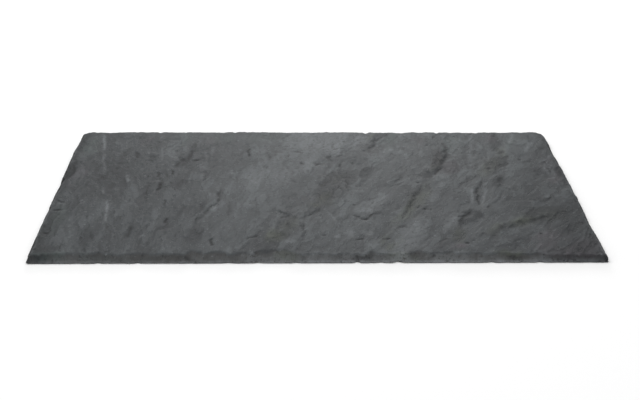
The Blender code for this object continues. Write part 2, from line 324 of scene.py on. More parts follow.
@dataclass(frozen=True)
class CleftFace:
    """The top, split along the slate's cleavage: layers, ledges, pits, cracks and a fine ripple."""

    thickness: float = THICKNESS
    grain: Grain = Grain()
    swells: tuple[Lumps, ...] = ((0.30, 36.0, 95.0, 3.1), (0.16, 15.0, 42.0, 8.7))
    layer: float = 0.18  # how thick each layer is
    layer_octaves: tuple[Lumps, ...] = (
        (3.6, 30.0, 85.0, 21.3),
        (1.7, 13.0, 32.0, 26.8),
        (0.8, 5.5, 14.0, 29.5),
        (0.25, 2.6, 6.0, 33.2),
    )
    layer_edge: float = 0.25  # the share of a layer's step that its sloping edge takes up
    crest: float = 0.3  # the height of a ledge's crest, as a share of its drop
    crest_reach: float = 0.6  # how far the crest goes, as a share of the low side's reach
    ripples: tuple[Lumps, ...] = (
        (0.06, 7.0, 18.0, 31.7),
        (0.035, 3.8, 9.0, 44.1),
        (0.025, 2.2, 4.6, 57.9),
    )
    waver: Waver = ((2.6, 16.0), (1.3, 6.0), (0.7, 2.6))
    ledges: tuple[Ledge, ...] = (
        # the longest ledge, from the back edge towards the front right
        Ledge(((98, 98), (101, 84), (105, 70)), 0.35, 10, 4.0),
        Ledge(((107, 80), (108, 66), (107, 56), (101, 43), (97, 33), (91, 17)), 0.8, 14, 4.5),
        Ledge(((84, 12), (80, 4), (76, -10), (72, -18), (67, -27), (62, -38), (57, -52)), 0.7, 12, 3.5),
        # the ledge from the middle of the back edge
        Ledge(((55, 98), (53, 88), (50, 78), (45, 66), (42, 52)), 0.55, 12, 4.0),
        Ledge(((43, 38), (42, 30), (38, 17), (34, 9), (27, -6)), 0.5, 12, 4.5),
        # two short ones beside its end
        Ledge(((5, 24), (4, 10), (2, -4)), 0.3, 9, 2.5),
        Ledge(((25, 8), (23, -8)), 0.25, 6, 2.0),
        # the short sharp ledge on the right, with a wedge-shaped scar at its foot
        Ledge(((131, 18), (125, 0), (122, -8), (121, -16), (118, -33)), 0.7, 9, 2.4),
        Ledge(((119, -31), (113, -35), (106, -44), (103, -54), (99, -66)), 0.6, 9, 3.5),
        Ledge(((146, -2), (138, -17), (130, -26), (122, -36)), 0.3, 6, 2.0),
        Ledge(((148, 20), (143, 11), (141, 0)), 0.35, 7, 4.0),
        # the ledge left of the middle, and its branch
        Ledge(((-77, 2), (-75, -8), (-73, -16), (-78, -25), (-83, -33), (-87, -44), (-89, -58)), 0.7, 9, 3.0),
        Ledge(((-72, -12), (-68, -22), (-66, -34), (-65, -46)), 0.35, 6, 2.5),
        # the broken ledges in the middle of the front half
        Ledge(((4, -29), (-3, -36), (-9, -41), (-14, -50)), 0.45, 9, 3.0),
        Ledge(((-12, -55), (-11, -66), (-12, -80)), 0.25, 7, 2.5),
        Ledge(((-16, -66), (-17, -52), (-18, -42), (-26, -35), (-33, -33)), 0.4, 9, 3.0),
        # the band across the front right
        Ledge(((176, -36), (154, -48), (148, -50), (139, -57), (134, -68)), 0.6, 12, 4.5),
        Ledge(((180, -12), (168, -19), (160, -27)), 0.35, 8, 4.0),
        # the ledge along the right edge
        Ledge(((192, 82), (189, 62), (186, 45), (185, 30), (182, 14)), 0.35, 8, 3.5),
        # short ledges on the left
        Ledge(((-94, 80), (-97, 68), (-103, 60), (-111, 48), (-115, 38), (-116, 24)), 0.5, 9, 5.0),
        Ledge(((-126, -30), (-127, -12), (-127, 4), (-124, 10), (-120, 9), (-118, 3)), 0.35, 5, 2.0),
        Ledge(((-98, -26), (-104, -40), (-108, -52), (-114, -64)), 0.4, 6, 3.5),
        Ledge(((-159, 62), (-161, 48), (-162, 34)), 0.3, 8, 4.0),
        # short ledges in the middle
        Ledge(((-54, 68), (-56, 40), (-63, 28), (-66, 12)), 0.25, 6, 3.0),
        Ledge(((-22, 60), (-22, 45), (-26, 34), (-29, 20)), 0.25, 6, 2.5),
        Ledge(((70, 20), (62, 12), (54, 0)), 0.3, 8, 4.0),
    )
    pits: tuple[Pit, ...] = (
        Pit(80, -33, 2.4, 1.8, 0, 0.4),
        Pit(85, -34, 2.2, 1.6, 0, 0.4),
        Pit(81, -25, 2.0, 1.5, 0, 0.35),
        Pit(80, 6, 3.0, 2.4, 0, 0.55),
        Pit(31, 41, 2.6, 2.2, 60, 0.4),
        Pit(43, 62, 2.4, 2.0, 60, 0.35),
        Pit(-120, -2, 3.4, 1.7, 80, 0.5),
        Pit(-95, 45, 3.2, 2.6, 0, 0.35),
        Pit(-108, -49, 5.5, 2.8, 75, 0.4),
        Pit(29, -28, 2.2, 1.6, 0, 0.35),
        Pit(30, -75, 4.0, 1.9, 0, 0.45),
        Pit(5, -70, 2.0, 1.6, 0, 0.35),
        Pit(36, -48, 10.0, 2.6, 5, 0.3),
        Pit(50, -75, 4.0, 2.2, 0, 0.4),
        Pit(104, -80, 3.0, 1.8, 0, 0.35),
        Pit(160, -69, 2.6, 2.2, 0, 0.35),
        Pit(167, 46, 2.2, 1.8, 80, 0.35),
        Pit(140, 31, 2.4, 1.8, 0, 0.35),
        Pit(187, 42, 3.2, 2.0, 80, 0.35),
        Pit(127, -31, 2.6, 1.6, 40, 0.35),
        Pit(-192, 26, 16.0, 4.0, 88, 0.5),
        Pit(-191, -23, 7.0, 2.2, -35, 0.45),
        Pit(-191, -34, 6.0, 2.2, -25, 0.45),
        Pit(-192, -68, 5.0, 2.4, -35, 0.45),
        Pit(-195, -88, 4.0, 2.2, -40, 0.45),
    )
    cracks: tuple[Crack, ...] = (
        # the scalloped crack in the front half
        Crack(((24, -40), (29, -43), (33, -46), (36, -49), (39, -45), (43, -41), (48, -38)), 0.2, 1.3),
        # the short cracks that dot the rest, dark with painted shade
        Crack(((102, 33), (96, 18)), 0.25),
        Crack(((-113, 28), (-113, 17)), 0.25, 1.2),
        Crack(((-123, 26), (-123, 16)), 0.2, 1.2),
        Crack(((-84, 30), (-86, 8)), 0.2, 1.2),
        Crack(((-114, -18), (-113, -29)), 0.2, 1.2),
        Crack(((-73, -73), (-74, -84)), 0.4, 1.2),
        Crack(((-54, 68), (-53, 50)), 0.25, 1.5),
        Crack(((-40, 60), (-37, 52), (-34, 46)), 0.2, 1.2),
        Crack(((-18, 61), (-9, 60)), 0.2, 1.2),
        Crack(((-10, 43), (-9, 37)), 0.25, 1.5),
        Crack(((-1, 42), (1, 36), (5, 39)), 0.25, 1.3),
        Crack(((12, 53), (13, 42)), 0.2, 1.2),
        Crack(((25, 53), (19, 49)), 0.2, 1.2),
        Crack(((21, 39), (20, 33)), 0.2, 1.4),
        Crack(((17, 63), (22, 67)), 0.2, 1.2),
        Crack(((-5, 29), (-5, 22)), 0.2, 1.2),
        Crack(((-19, 12), (-13, 5)), 0.2, 1.2),
        Crack(((14, 1), (14, -15)), 0.15),
        Crack(((-134, -58), (-134, -68), (-132, -75)), 0.25, 1.6),
        Crack(((-147, 61), (-144, 48)), 0.15, 1.5),
        Crack(((-42, -71), (-52, -75)), 0.25, 1.3),
        Crack(((-26, -50), (-22, -44)), 0.2, 1.6),
        Crack(((114, 3), (119, 11), (127, 20)), 0.15),
        Crack(((68, -57), (58, -61)), 0.12, 1.5),
        Crack(((90, -73), (86, -84)), 0.2, 1.3),
    )

    def height(self, x: np.ndarray, y: np.ndarray) -> np.ndarray:
        """The cleft face.

        Args:
            x, y: the points, in millimetres.

        Returns:
            Its height at each point.
        """
        height = np.full_like(x, self.thickness)
        for swell, across, along, seed in (*self.swells, *self.ripples):
            height += swell * self.grain.noise(x, y, across, along, seed)
        height += self._layers(x, y)
        x, y = wavered(x, y, self.waver)
        for ledge in self.ledges:
            height += self._ledge(x, y, ledge)
        for pit in self.pits:
            height -= pit.depth * smoothstep(1.0 - oval_distance(x, y, pit))
        for crack in self.cracks:
            away, _, along = path_distance(x, y, crack.path)
            height -= crack.depth * ends_fade(along) * np.exp(-((away / crack.half_width) ** 2))
        return height

    def _layers(self, x: np.ndarray, y: np.ndarray) -> np.ndarray:
        """The layers that the top is split on: level steps with ragged, sloping edges.

        Args:
            x, y: the points, in millimetres.

        Returns:
            What the layers add to the height at each point.
        """
        level = self.grain.layered(x, y, self.layer_octaves)
        whole = np.floor(level)
        return self.layer * (whole + smoothstep((level - whole - 1.0 + self.layer_edge) / self.layer_edge))

    def _ledge(self, x: np.ndarray, y: np.ndarray, ledge: Ledge) -> np.ndarray:
        """One ledge: a crest along its high side, and a drop on its low side.

        Args:
            x, y: the points, in millimetres.
            ledge: the ledge.

        Returns:
            What the ledge adds to the height at each point.
        """
        away, side, along = path_distance(x, y, ledge.path)
        low = np.where(side > 0, away, 0.0)
        step = smoothstep(low / ledge.face) * np.exp(-low / ledge.reach)
        crest = self.crest * np.exp(-away / (self.crest_reach * ledge.reach))
        return ledge.drop * ends_fade(along) * (crest - step)


def struck_flakes(half_length: float, reach: tuple[float, float], seed: int) -> Flakes:
    """Strikes flakes off all along an edge.

    Args:
        half_length: half of the edge's length, in millimetres.
        reach: the least and greatest reach of a flake in from the edge.
        seed: picks the flakes.

    Returns:
        The place, reach and half width of each flake.
    """
    rng = np.random.default_rng(seed)
    flakes = []
    at = -half_length
    while at < half_length:
        step = rng.uniform(*FLAKE_STEP)
        at += step
        flakes.append((at, rng.uniform(*reach), step * rng.uniform(*FLAKE_WIDTH)))
    return tuple(flakes)


@dataclass(frozen=True)
class Bevel:
    """How one edge is chipped: the least reach of its bevel, and the flakes struck off along it."""

    reach: float
    flakes: Flakes
    seed: float
    hollow: float = 1.2  # above 1, the slope is dished
    flake_roundness: float = 0.6
    splinters: Waver = ((0.5, 9.0), (0.3, 3.4))

    def rise(self, inward: np.ndarray, along: np.ndarray) -> np.ndarray:
        """The slope of the bevel.

        Args:
            inward: how far in from the edge each point is, in millimetres.
            along: how far along the edge it is.

        Returns:
            How far up the slope it is: 0 at the lip, 1 where the bevel meets the face, and more further in.
        """
        reach = np.full_like(along, self.reach)
        for at, flake_reach, half_width in self.flakes:
            arc = np.clip(1.0 - ((along - at) / half_width) ** 2, 0.0, 1.0) ** self.flake_roundness
            reach = np.maximum(reach, flake_reach * arc)
        for splinter, size in self.splinters:
            reach += splinter * noise_at(along, along, size, ENDLESS, self.seed)
        return (np.maximum(inward, 0.0) / reach) ** self.hollow


@dataclass(frozen=True)
class ChippedEdges:
    """The outline, and the bevel that is chipped down to a thin lip all along it."""

    length: float = 400.0
    depth: float = 200.0
    thickness: float = THICKNESS
    lip_height: float = 1.0
    lip_level: float = 0.85  # how high the lip is on average, as a share of that
    lip_waver: Lumps = (0.3, 5.0, 5.0, 61.0)
    lip_undercut: float = 0.3
    front_skew: float = 1.9
    back_left_clip: tuple[float, float] = (8.0, 6.5)
    back_right_radius: float = 14.0
    front_corner_radius: float = 0.9
    arris_wear: float = 1.4
    fray: Waver = ((0.22, 7.0), (0.28, 2.2))
    fray_level: float = 0.3  # above 0, more than half of an edge is frayed
    roughness: Waver = ((0.45, 4.2), (0.35, 2.2))
    roughness_seed: float = 12.7
    chip_raggedness: Lumps = (0.9, 3.6, 3.6, 47.1)
    chip_rim: float = 0.4  # the broken look begins on the face, where the bevel is still this far above it
    chip_fade: float = 1.6  # and comes in over this change in height
    front_nicks: tuple[Nick, ...] = (
        Nick(-150, 0.9, 3), Nick(-123, 0.6, 3), Nick(-61, 0.6, 5), Nick(-41, 0.8, 3), Nick(-15, 0.8, 3),
        Nick(27, 1.4, 3), Nick(43, 0.8, 3), Nick(55, 1.5, 4), Nick(119, 0.8, 3), Nick(152, 0.8, 3),
    )
    back_nicks: tuple[Nick, ...] = (
        Nick(-175, 1.2, 26), Nick(-131, 0.8, 3), Nick(32, 0.9, 18), Nick(45, 1.9, 3.5), Nick(106, 1.7, 2.5),
    )
    left_nicks: tuple[Nick, ...] = (
        Nick(90, 1.2, 24), Nick(8, 0.8, 13), Nick(-31, 0.5, 8), Nick(-98, 0.7, 10),
    )
    right_nicks: tuple[Nick, ...] = (
        Nick(65, 0.8, 18), Nick(42, 0.45, 14), Nick(-9, 0.3, 7), Nick(-50, 0.8, 22), Nick(-94, 0.5, 9),
    )
    front_bevel: Bevel = Bevel(
        3.8,
        (
            (-165, 5.8, 40), (-123, 6.8, 15), (-105, 5.8, 14), (-84, 9.0, 8), (-70, 7.4, 10), (-52, 6.6, 9),
            (-30, 9.6, 18), (0, 5.4, 14), (19, 5.4, 8), (37, 6.6, 5), (70, 7.6, 8), (82, 5.5, 6),
            (90, 6.0, 8), (107, 4.6, 12), (127, 5.0, 12), (152, 4.8, 10), (178, 4.8, 16),
        ),
        5.0,
    )
    back_bevel: Bevel = Bevel(1.8, struck_flakes(200.0, (1.9, 2.7), 12), 6.0)
    left_bevel: Bevel = Bevel(2.0, struck_flakes(100.0, (2.3, 3.8), 13), 7.0)
    right_bevel: Bevel = Bevel(2.0, struck_flakes(100.0, (2.3, 3.8), 14), 8.0)

    def left(self, y: np.ndarray) -> np.ndarray:
        """The left edge, with the clipped corner at its back.

        Args:
            y: the places along it, in millimetres.

        Returns:
            Its X at each Y.
        """
        clip_x, clip_y = self.back_left_clip
        clip = clip_x * np.clip((y - (self.depth / 2 - clip_y)) / clip_y, 0.0, 1.0)
        corner = self._rounded(-y - self.depth / 2, self.front_corner_radius)
        return -self.length / 2 + self._cut(y, self.left_nicks, Side.LEFT) + clip + corner

    def right(self, y: np.ndarray) -> np.ndarray:
        """The right edge, with the round corner at its back.

        Args:
            y: the places along it, in millimetres.

        Returns:
            Its X at each Y.
        """
        back = self._rounded(y - self.depth / 2, self.back_right_radius)
        front = self._rounded(self.front_skew - y - self.depth / 2, self.front_corner_radius)
        return self.length / 2 - self._cut(y, self.right_nicks, Side.RIGHT) - back - front

    def front(self, x: np.ndarray) -> np.ndarray:
        """Y of the front edge at each X."""
        skew = self.front_skew * (x + self.length / 2) / self.length
        return -self.depth / 2 + skew + self._cut(x, self.front_nicks, Side.FRONT)

    def back(self, x: np.ndarray) -> np.ndarray:
        """Y of the back edge at each X."""
        return self.depth / 2 - self._cut(x, self.back_nicks, Side.BACK)

    def chip(self, x: np.ndarray, y: np.ndarray, face: np.ndarray) -> tuple[np.ndarray, np.ndarray]:
        """Chips the edges off the cleft face.

        Args:
            x, y: the points, in millimetres.
            face: the height of the cleft face there.

        Returns:
            The height once the bevels are chipped, and how chipped each point is, from 0 to 1.
        """
        rise = np.minimum.reduce([
            self.front_bevel.rise(y - self.front(x), x),
            self.back_bevel.rise(self.back(x) - y, x),
            self.left_bevel.rise(x - self.left(y), y),
            self.right_bevel.rise(self.right(y) - x, y),
        ])
        bevel = self.lip_height + (self.thickness - self.lip_height) * rise
        for roughness, size in self.roughness:
            bevel += roughness * noise_at(x, y, size, size, self.roughness_seed + size)
        # the lower of the two surfaces, with the arris between them worn round
        worn = self.arris_wear * np.clip(1.0 - np.abs(face - bevel) / self.arris_wear, 0.0, 1.0) ** 2 / 4.0
        height = np.minimum(face, bevel) - worn
        raggedness, *lumps = self.chip_raggedness
        ragged = raggedness * noise_at(x, y, *lumps)
        return height, smoothstep((face - bevel + self.chip_rim + ragged) / self.chip_fade)

    def lip(self, x: np.ndarray, y: np.ndarray) -> np.ndarray:
        """The thin lip that the bevels leave.

        Args:
            x, y: the points, in millimetres.

        Returns:
            The height of the lip's top at each point.
        """
        waver, *lumps = self.lip_waver
        return self.lip_height * (self.lip_level + waver * noise_at(x, y, *lumps))

    def _cut(self, along: np.ndarray, nicks: tuple[Nick, ...], side: Side) -> np.ndarray:
        """Cuts the nicks and the fraying into an edge.

        Args:
            along: the places along it, in millimetres.
            nicks: its nicks.
            side: which edge it is.

        Returns:
            How deep the cut is at each place.
        """
        depth = np.zeros_like(along)
        for nick in nicks:
            notch = smoothstep(1.0 - np.abs(along - nick.at) / nick.half_width)
            depth = np.maximum(depth, nick.depth * notch)
        for fray, size in self.fray:
            frayed = self.fray_level + noise_at(along, along, size, ENDLESS, side.value)
            depth += fray * np.clip(frayed, 0.0, 1.0)
        return depth

    @staticmethod
    def _rounded(beyond_corner: np.ndarray, radius: float) -> np.ndarray:
        """How far a rounded corner pulls an edge in, from how far points are beyond the square corner."""
        beyond = np.clip(beyond_corner + radius, 0.0, radius)
        return radius - np.sqrt(radius * radius - beyond * beyond)


@dataclass(frozen=True)
class Underside:
    """The bottom: level where it rests, with shallow scars where thin layers have come away."""

    grain: Grain = Grain()
    scars: tuple[Lumps, ...] = ((1.0, 34.0, 88.0, 5.2),)
    scar_depth: float = 0.45
    scar_level: float = 0.12
    scar_edge: float = 0.07
    rest_radius: float = 55.0  # no scar is nearer the middle than this
    ripples: tuple[Lumps, ...] = ((0.07, 5.0, 14.0, 9.4),)

    def height(self, x: np.ndarray, y: np.ndarray) -> np.ndarray:
        """The underside.

        Args:
            x, y: the points, in millimetres.

        Returns:
            Its height at each point: 0 where it is level.
        """
        middle = np.clip(2.0 - np.hypot(x, y) / self.rest_radius, 0.0, 1.0)
        scars = self.grain.layered(x, y, self.scars)
        scar = smoothstep((scars - self.scar_level - middle) / self.scar_edge)
        return self.scar_depth * scar + np.maximum(self.grain.layered(x, y, self.ripples), 0.0)


@dataclass(frozen=True)
class Markings:
    """The colour of the cleft face: stains, spots and streaks in the rock, painted shade on ledges, in cracks
    and along some dark lines, and painted sheen and shade in the broad tones.
    """

    ledge_painted_shade: float = 1.3  # painted shade on a ledge's face, for each unit of its steepness
    ledge_painted_shade_width: float = 0.8
    crack_painted_shade: float = 1.6  # painted shade in a crack, for each millimetre of its depth
    stain_reach: float = 0.65  # where a stain is half faded, as a share of its oval
    stain_rim: float = 0.4
    streak_rim: float = 0.8
    streak_peak: float = 1.3
    raggedness: tuple[Lumps, ...] = ((0.8, 14.0, 34.0, 91.7), (0.7, 5.0, 13.0, 91.7), (0.5, 2.2, 5.0, 91.7))
    stains: tuple[Stain, ...] = (
        # broad tones, partly painted light: the pale band that slants from the middle of the back edge is
        # painted sheen, and its darker ends are partly painted shade and partly the stone's own tone
        Stain(Tint.PALE, 14, 84, 55, 34, 20, 0.26),
        Stain(Tint.PALE, -30, 22, 60, 26, 60, 0.14),
        Stain(Tint.PALE, 68, -70, 34, 16, 70, 0.22),
        Stain(Tint.DARK, -150, 25, 95, 56, 85, 0.32),
        Stain(Tint.DARK, -140, -60, 60, 50, 85, 0.28),
        Stain(Tint.DARK, 168, 0, 90, 40, 60, 0.26),
        Stain(Tint.DARK, 196, -96, 70, 44, 20, 0.6),
        Stain(Tint.DARK, 180, -62, 22, 18, 70, 0.6),
        Stain(Tint.DARK, 130, 54, 50, 18, 85, 0.25),
        Stain(Tint.DARK, 92, 82, 14, 10, 85, 0.25),
        Stain(Tint.DARK, 0, -30, 26, 20, 60, 0.26),
        Stain(Tint.DARK, -90, 42, 62, 24, 88, 0.24),
        Stain(Tint.DARK, -130, 72, 28, 14, 88, 0.42),
        Stain(Tint.DARK, -181, -30, 26, 14, 88, 0.45),
        Stain(Tint.PALE, 42, 84, 14, 12, 80, 0.28),
        Stain(Tint.PALE, -4, 44, 36, 14, 80, 0.16),
        Stain(Tint.PALE, 92, -26, 52, 18, 80, 0.09),
        # the right-hand side
        Stain(Tint.DARK, 171, -40, 30, 18, 18, 0.64, 0.35),
        Stain(Tint.DARK, 192, -48, 56, 10, 80, 0.5),
        Stain(Tint.BROKEN_SKIN_AND_SHADE, 112, -45, 21, 10, 60, 0.42, 0.25),
        Stain(Tint.DARK, 103, 50, 46, 10, 74, 0.45, 0.45),
        Stain(Tint.BROKEN_SKIN_AND_SHADE, 100, 45, 30, 6, 68, 0.36, 0.4),
        Stain(Tint.BROKEN_SKIN_AND_SHADE, 89, 18, 20, 6, 72, 0.36, 0.4),
        Stain(Tint.BROKEN_SKIN_AND_SHADE, 153, 80, 26, 8, 78, 0.35, 0.35),
        Stain(Tint.DARK, 153, 52, 17, 7, 85, 0.4, 0.4),
        Stain(Tint.DARK, 147, 38, 28, 12, 65, 0.58, 0.4),
        Stain(Tint.DARK, 144, 10, 20, 7, 70, 0.45, 0.5),
        Stain(Tint.DARK, 170, -19, 12, 5, 15, 0.5, 0.4),
        Stain(Tint.DARK, 137, -59, 13, 6, 55, 0.5, 0.5),
        Stain(Tint.DARK, 100, -68, 18, 8, 78, 0.42, 0.5),
        Stain(Tint.DARK, 180, -84, 30, 14, 15, 0.6),
        Stain(Tint.DARK, 134, -95, 7, 3, 0, 0.5),
        Stain(Tint.DARK, 186, -28, 14, 6, 30, 0.45, 0.4),
        Stain(Tint.OLIVE, 142, 34, 22, 9, 60, 0.5),
        Stain(Tint.OLIVE, 154, 58, 16, 6, 85, 0.4),
        Stain(Tint.OLIVE, 152, -50, 22, 8, 30, 0.7),
        Stain(Tint.OLIVE, 171, -40, 18, 12, 20, 0.4),
        Stain(Tint.OLIVE, 74, -26, 42, 8, 63, 0.7),
        Stain(Tint.OLIVE, 100, -68, 15, 7, 78, 0.9),
        Stain(Tint.OLIVE, 132, -93, 12, 7, 0, 0.8),
        Stain(Tint.OLIVE, 126, -62, 16, 7, 50, 0.4),
        Stain(Tint.PALE, 117, 74, 18, 9, 75, 0.2, 0.6),
        Stain(Tint.PLUM, 100, 46, 28, 6, 70, 0.4, 0.4),
        Stain(Tint.OLIVE, 99, 42, 26, 6, 70, 0.4, 0.4),
        Stain(Tint.TEAL, 116, 76, 22, 9, 75, 0.8),
        Stain(Tint.TEAL, 168, 82, 16, 6, 65, 0.6),
        Stain(Tint.PLUM, 164, -76, 20, 14, 40, 0.7),
        Stain(Tint.PLUM, 182, -88, 36, 16, 15, 0.6),
        Stain(Tint.PLUM, 151, 84, 12, 8, 80, 0.6),
        Stain(Tint.PLUM, 88, 80, 12, 7, 80, 0.5),
        Stain(Tint.DARK, 110, 35, 17, 11, 60, 0.42, 0.4),
        Stain(Tint.PLUM, 110, 34, 18, 11, 60, 0.35, 0.5),
        Stain(Tint.PALE, 190, 36, 24, 7, 84, 0.2),
        Stain(Tint.PLUM, 189, 28, 22, 8, 84, 0.8),
        Stain(Tint.PLUM, 100, -84, 9, 4, 0, 0.7),
        # the middle
        Stain(Tint.DARK, 16, 4, 44, 20, 66, 0.62, 0.3),
        Stain(Tint.DARK, 4, -26, 20, 9, 40, 0.45, 0.35),
        Stain(Tint.DARK, -22, -53, 22, 11, 65, 0.42, 0.45),
        Stain(Tint.DARK, -28, -70, 14, 9, 80, 0.4, 0.5),
        Stain(Tint.BROKEN_SKIN_AND_SHADE, 64, 15, 12, 5, 45, 0.4, 0.3),
        Stain(Tint.DARK, 40, 22, 26, 7, 70, 0.3, 0.5),
        Stain(Tint.DARK, 49, -75, 6, 4, 0, 0.5),
        Stain(Tint.BROKEN_SKIN_AND_SHADE, 39, 25, 18, 4, 70, 0.4, 0.35),
        Stain(Tint.OLIVE, 19, 13, 10, 6, 60, 0.9),
        Stain(Tint.OLIVE, 8, -18, 13, 9, 60, 0.9),
        Stain(Tint.OLIVE, -1, -27, 5, 4, 0, 0.9),
        Stain(Tint.OLIVE, -30, -71, 11, 9, 80, 0.9),
        Stain(Tint.OLIVE, -19, -58, 14, 7, 65, 0.6),
        Stain(Tint.OLIVE, 50, -79, 15, 9, 60, 0.8),
        Stain(Tint.OLIVE, 50, 88, 12, 3, 60, 0.6),
        Stain(Tint.TEAL, 66, 84, 18, 9, 75, 0.7),
        Stain(Tint.TEAL, -60, 86, 62, 13, 0, 0.7),
        Stain(Tint.PALE, 46, -22, 20, 9, 60, 0.2),
        Stain(Tint.PALE, 37, -35, 12, 5, 0, 0.3),
        Stain(Tint.PALE, 24, -68, 7, 5, -40, 0.2),
        Stain(Tint.PALE, -20, -79, 7, 3, 0, 0.18),
        # the left-hand side
        Stain(Tint.BROKEN_SKIN_AND_SHADE, -194, 27, 22, 6, 86, 0.42, 0.5),
        Stain(Tint.DARK, -193, 84, 12, 6, 75, 0.45, 0.5),
        Stain(Tint.DARK, -190, -50, 44, 9, 88, 0.45),
        Stain(Tint.DARK, -188, -90, 20, 12, 30, 0.6),
        Stain(Tint.BROKEN_SKIN_AND_SHADE, -107, 47, 22, 9, 72, 0.4, 0.28),
        Stain(Tint.BROKEN_SKIN_AND_SHADE, -100, 66, 16, 5, 82, 0.4, 0.3),
        Stain(Tint.DARK, -157, 56, 18, 8, 85, 0.42, 0.4),
        Stain(Tint.DARK, -107, 6, 15, 11, 80, 0.42, 0.35),
        Stain(Tint.DARK, -146, 56, 10, 5, 75, 0.35),
        Stain(Tint.DARK, -86, -72, 18, 10, 80, 0.42, 0.4),
        Stain(Tint.BROKEN_SKIN_AND_SHADE, -134, -65, 11, 4.5, 86, 0.22, 0.35),
        Stain(Tint.BROKEN_SKIN_AND_SHADE, -131, 50, 13, 5, -72, 0.25, 0.35),
        Stain(Tint.BROKEN_SKIN_AND_SHADE, -145, 88, 10, 5, 85, 0.25, 0.4),
        Stain(Tint.BROKEN_SKIN_AND_SHADE, -164, -74, 20, 9, -76, 0.22, 0.35),
        Stain(Tint.TEAL, -184, 72, 24, 9, 80, 0.9),
        Stain(Tint.TEAL, -189, -50, 30, 9, 86, 0.8),
        Stain(Tint.TEAL, -184, -95, 22, 8, 0, 0.9),
        Stain(Tint.TEAL, -107, 82, 18, 8, 85, 0.6),
        Stain(Tint.PALE, -187, 22, 20, 6, 85, 0.16),
        Stain(Tint.PLUM, -186, 20, 20, 8, 80, 0.6),
        Stain(Tint.PLUM, -138, 84, 14, 8, 85, 0.7),
        Stain(Tint.PLUM, -88, 84, 12, 7, 85, 0.4),
        # the chipped front edge: tints, and pale stains that are partly painted light on its bevel, which
        # faces away from the lamps
        Stain(Tint.TEAL, -150, -99, 50, 5, 0, 0.3),
        Stain(Tint.PALE, -160, -99, 60, 5, 0, 0.1),
        Stain(Tint.PALE, 4, -98, 96, 7, 0, 0.24),
        Stain(Tint.PALE, -44, -97, 18, 6, 0, 0.25),
        Stain(Tint.PALE, 92, -98, 56, 6, 0, 0.28),
        Stain(Tint.PALE, 150, -100, 90, 5, 0, 0.56),
        Stain(Tint.PALE, 57, -97, 12, 6, 0, 0.5),
        Stain(Tint.PLUM, 20, -100, 90, 3, 0, 0.6),
        Stain(Tint.OLIVE, -20, -96, 12, 5, 0, 0.7),
        Stain(Tint.OLIVE, 58, -96, 14, 5, 0, 0.7),
        Stain(Tint.DARK, 33, -96, 10, 3, 10, 0.5),
    )
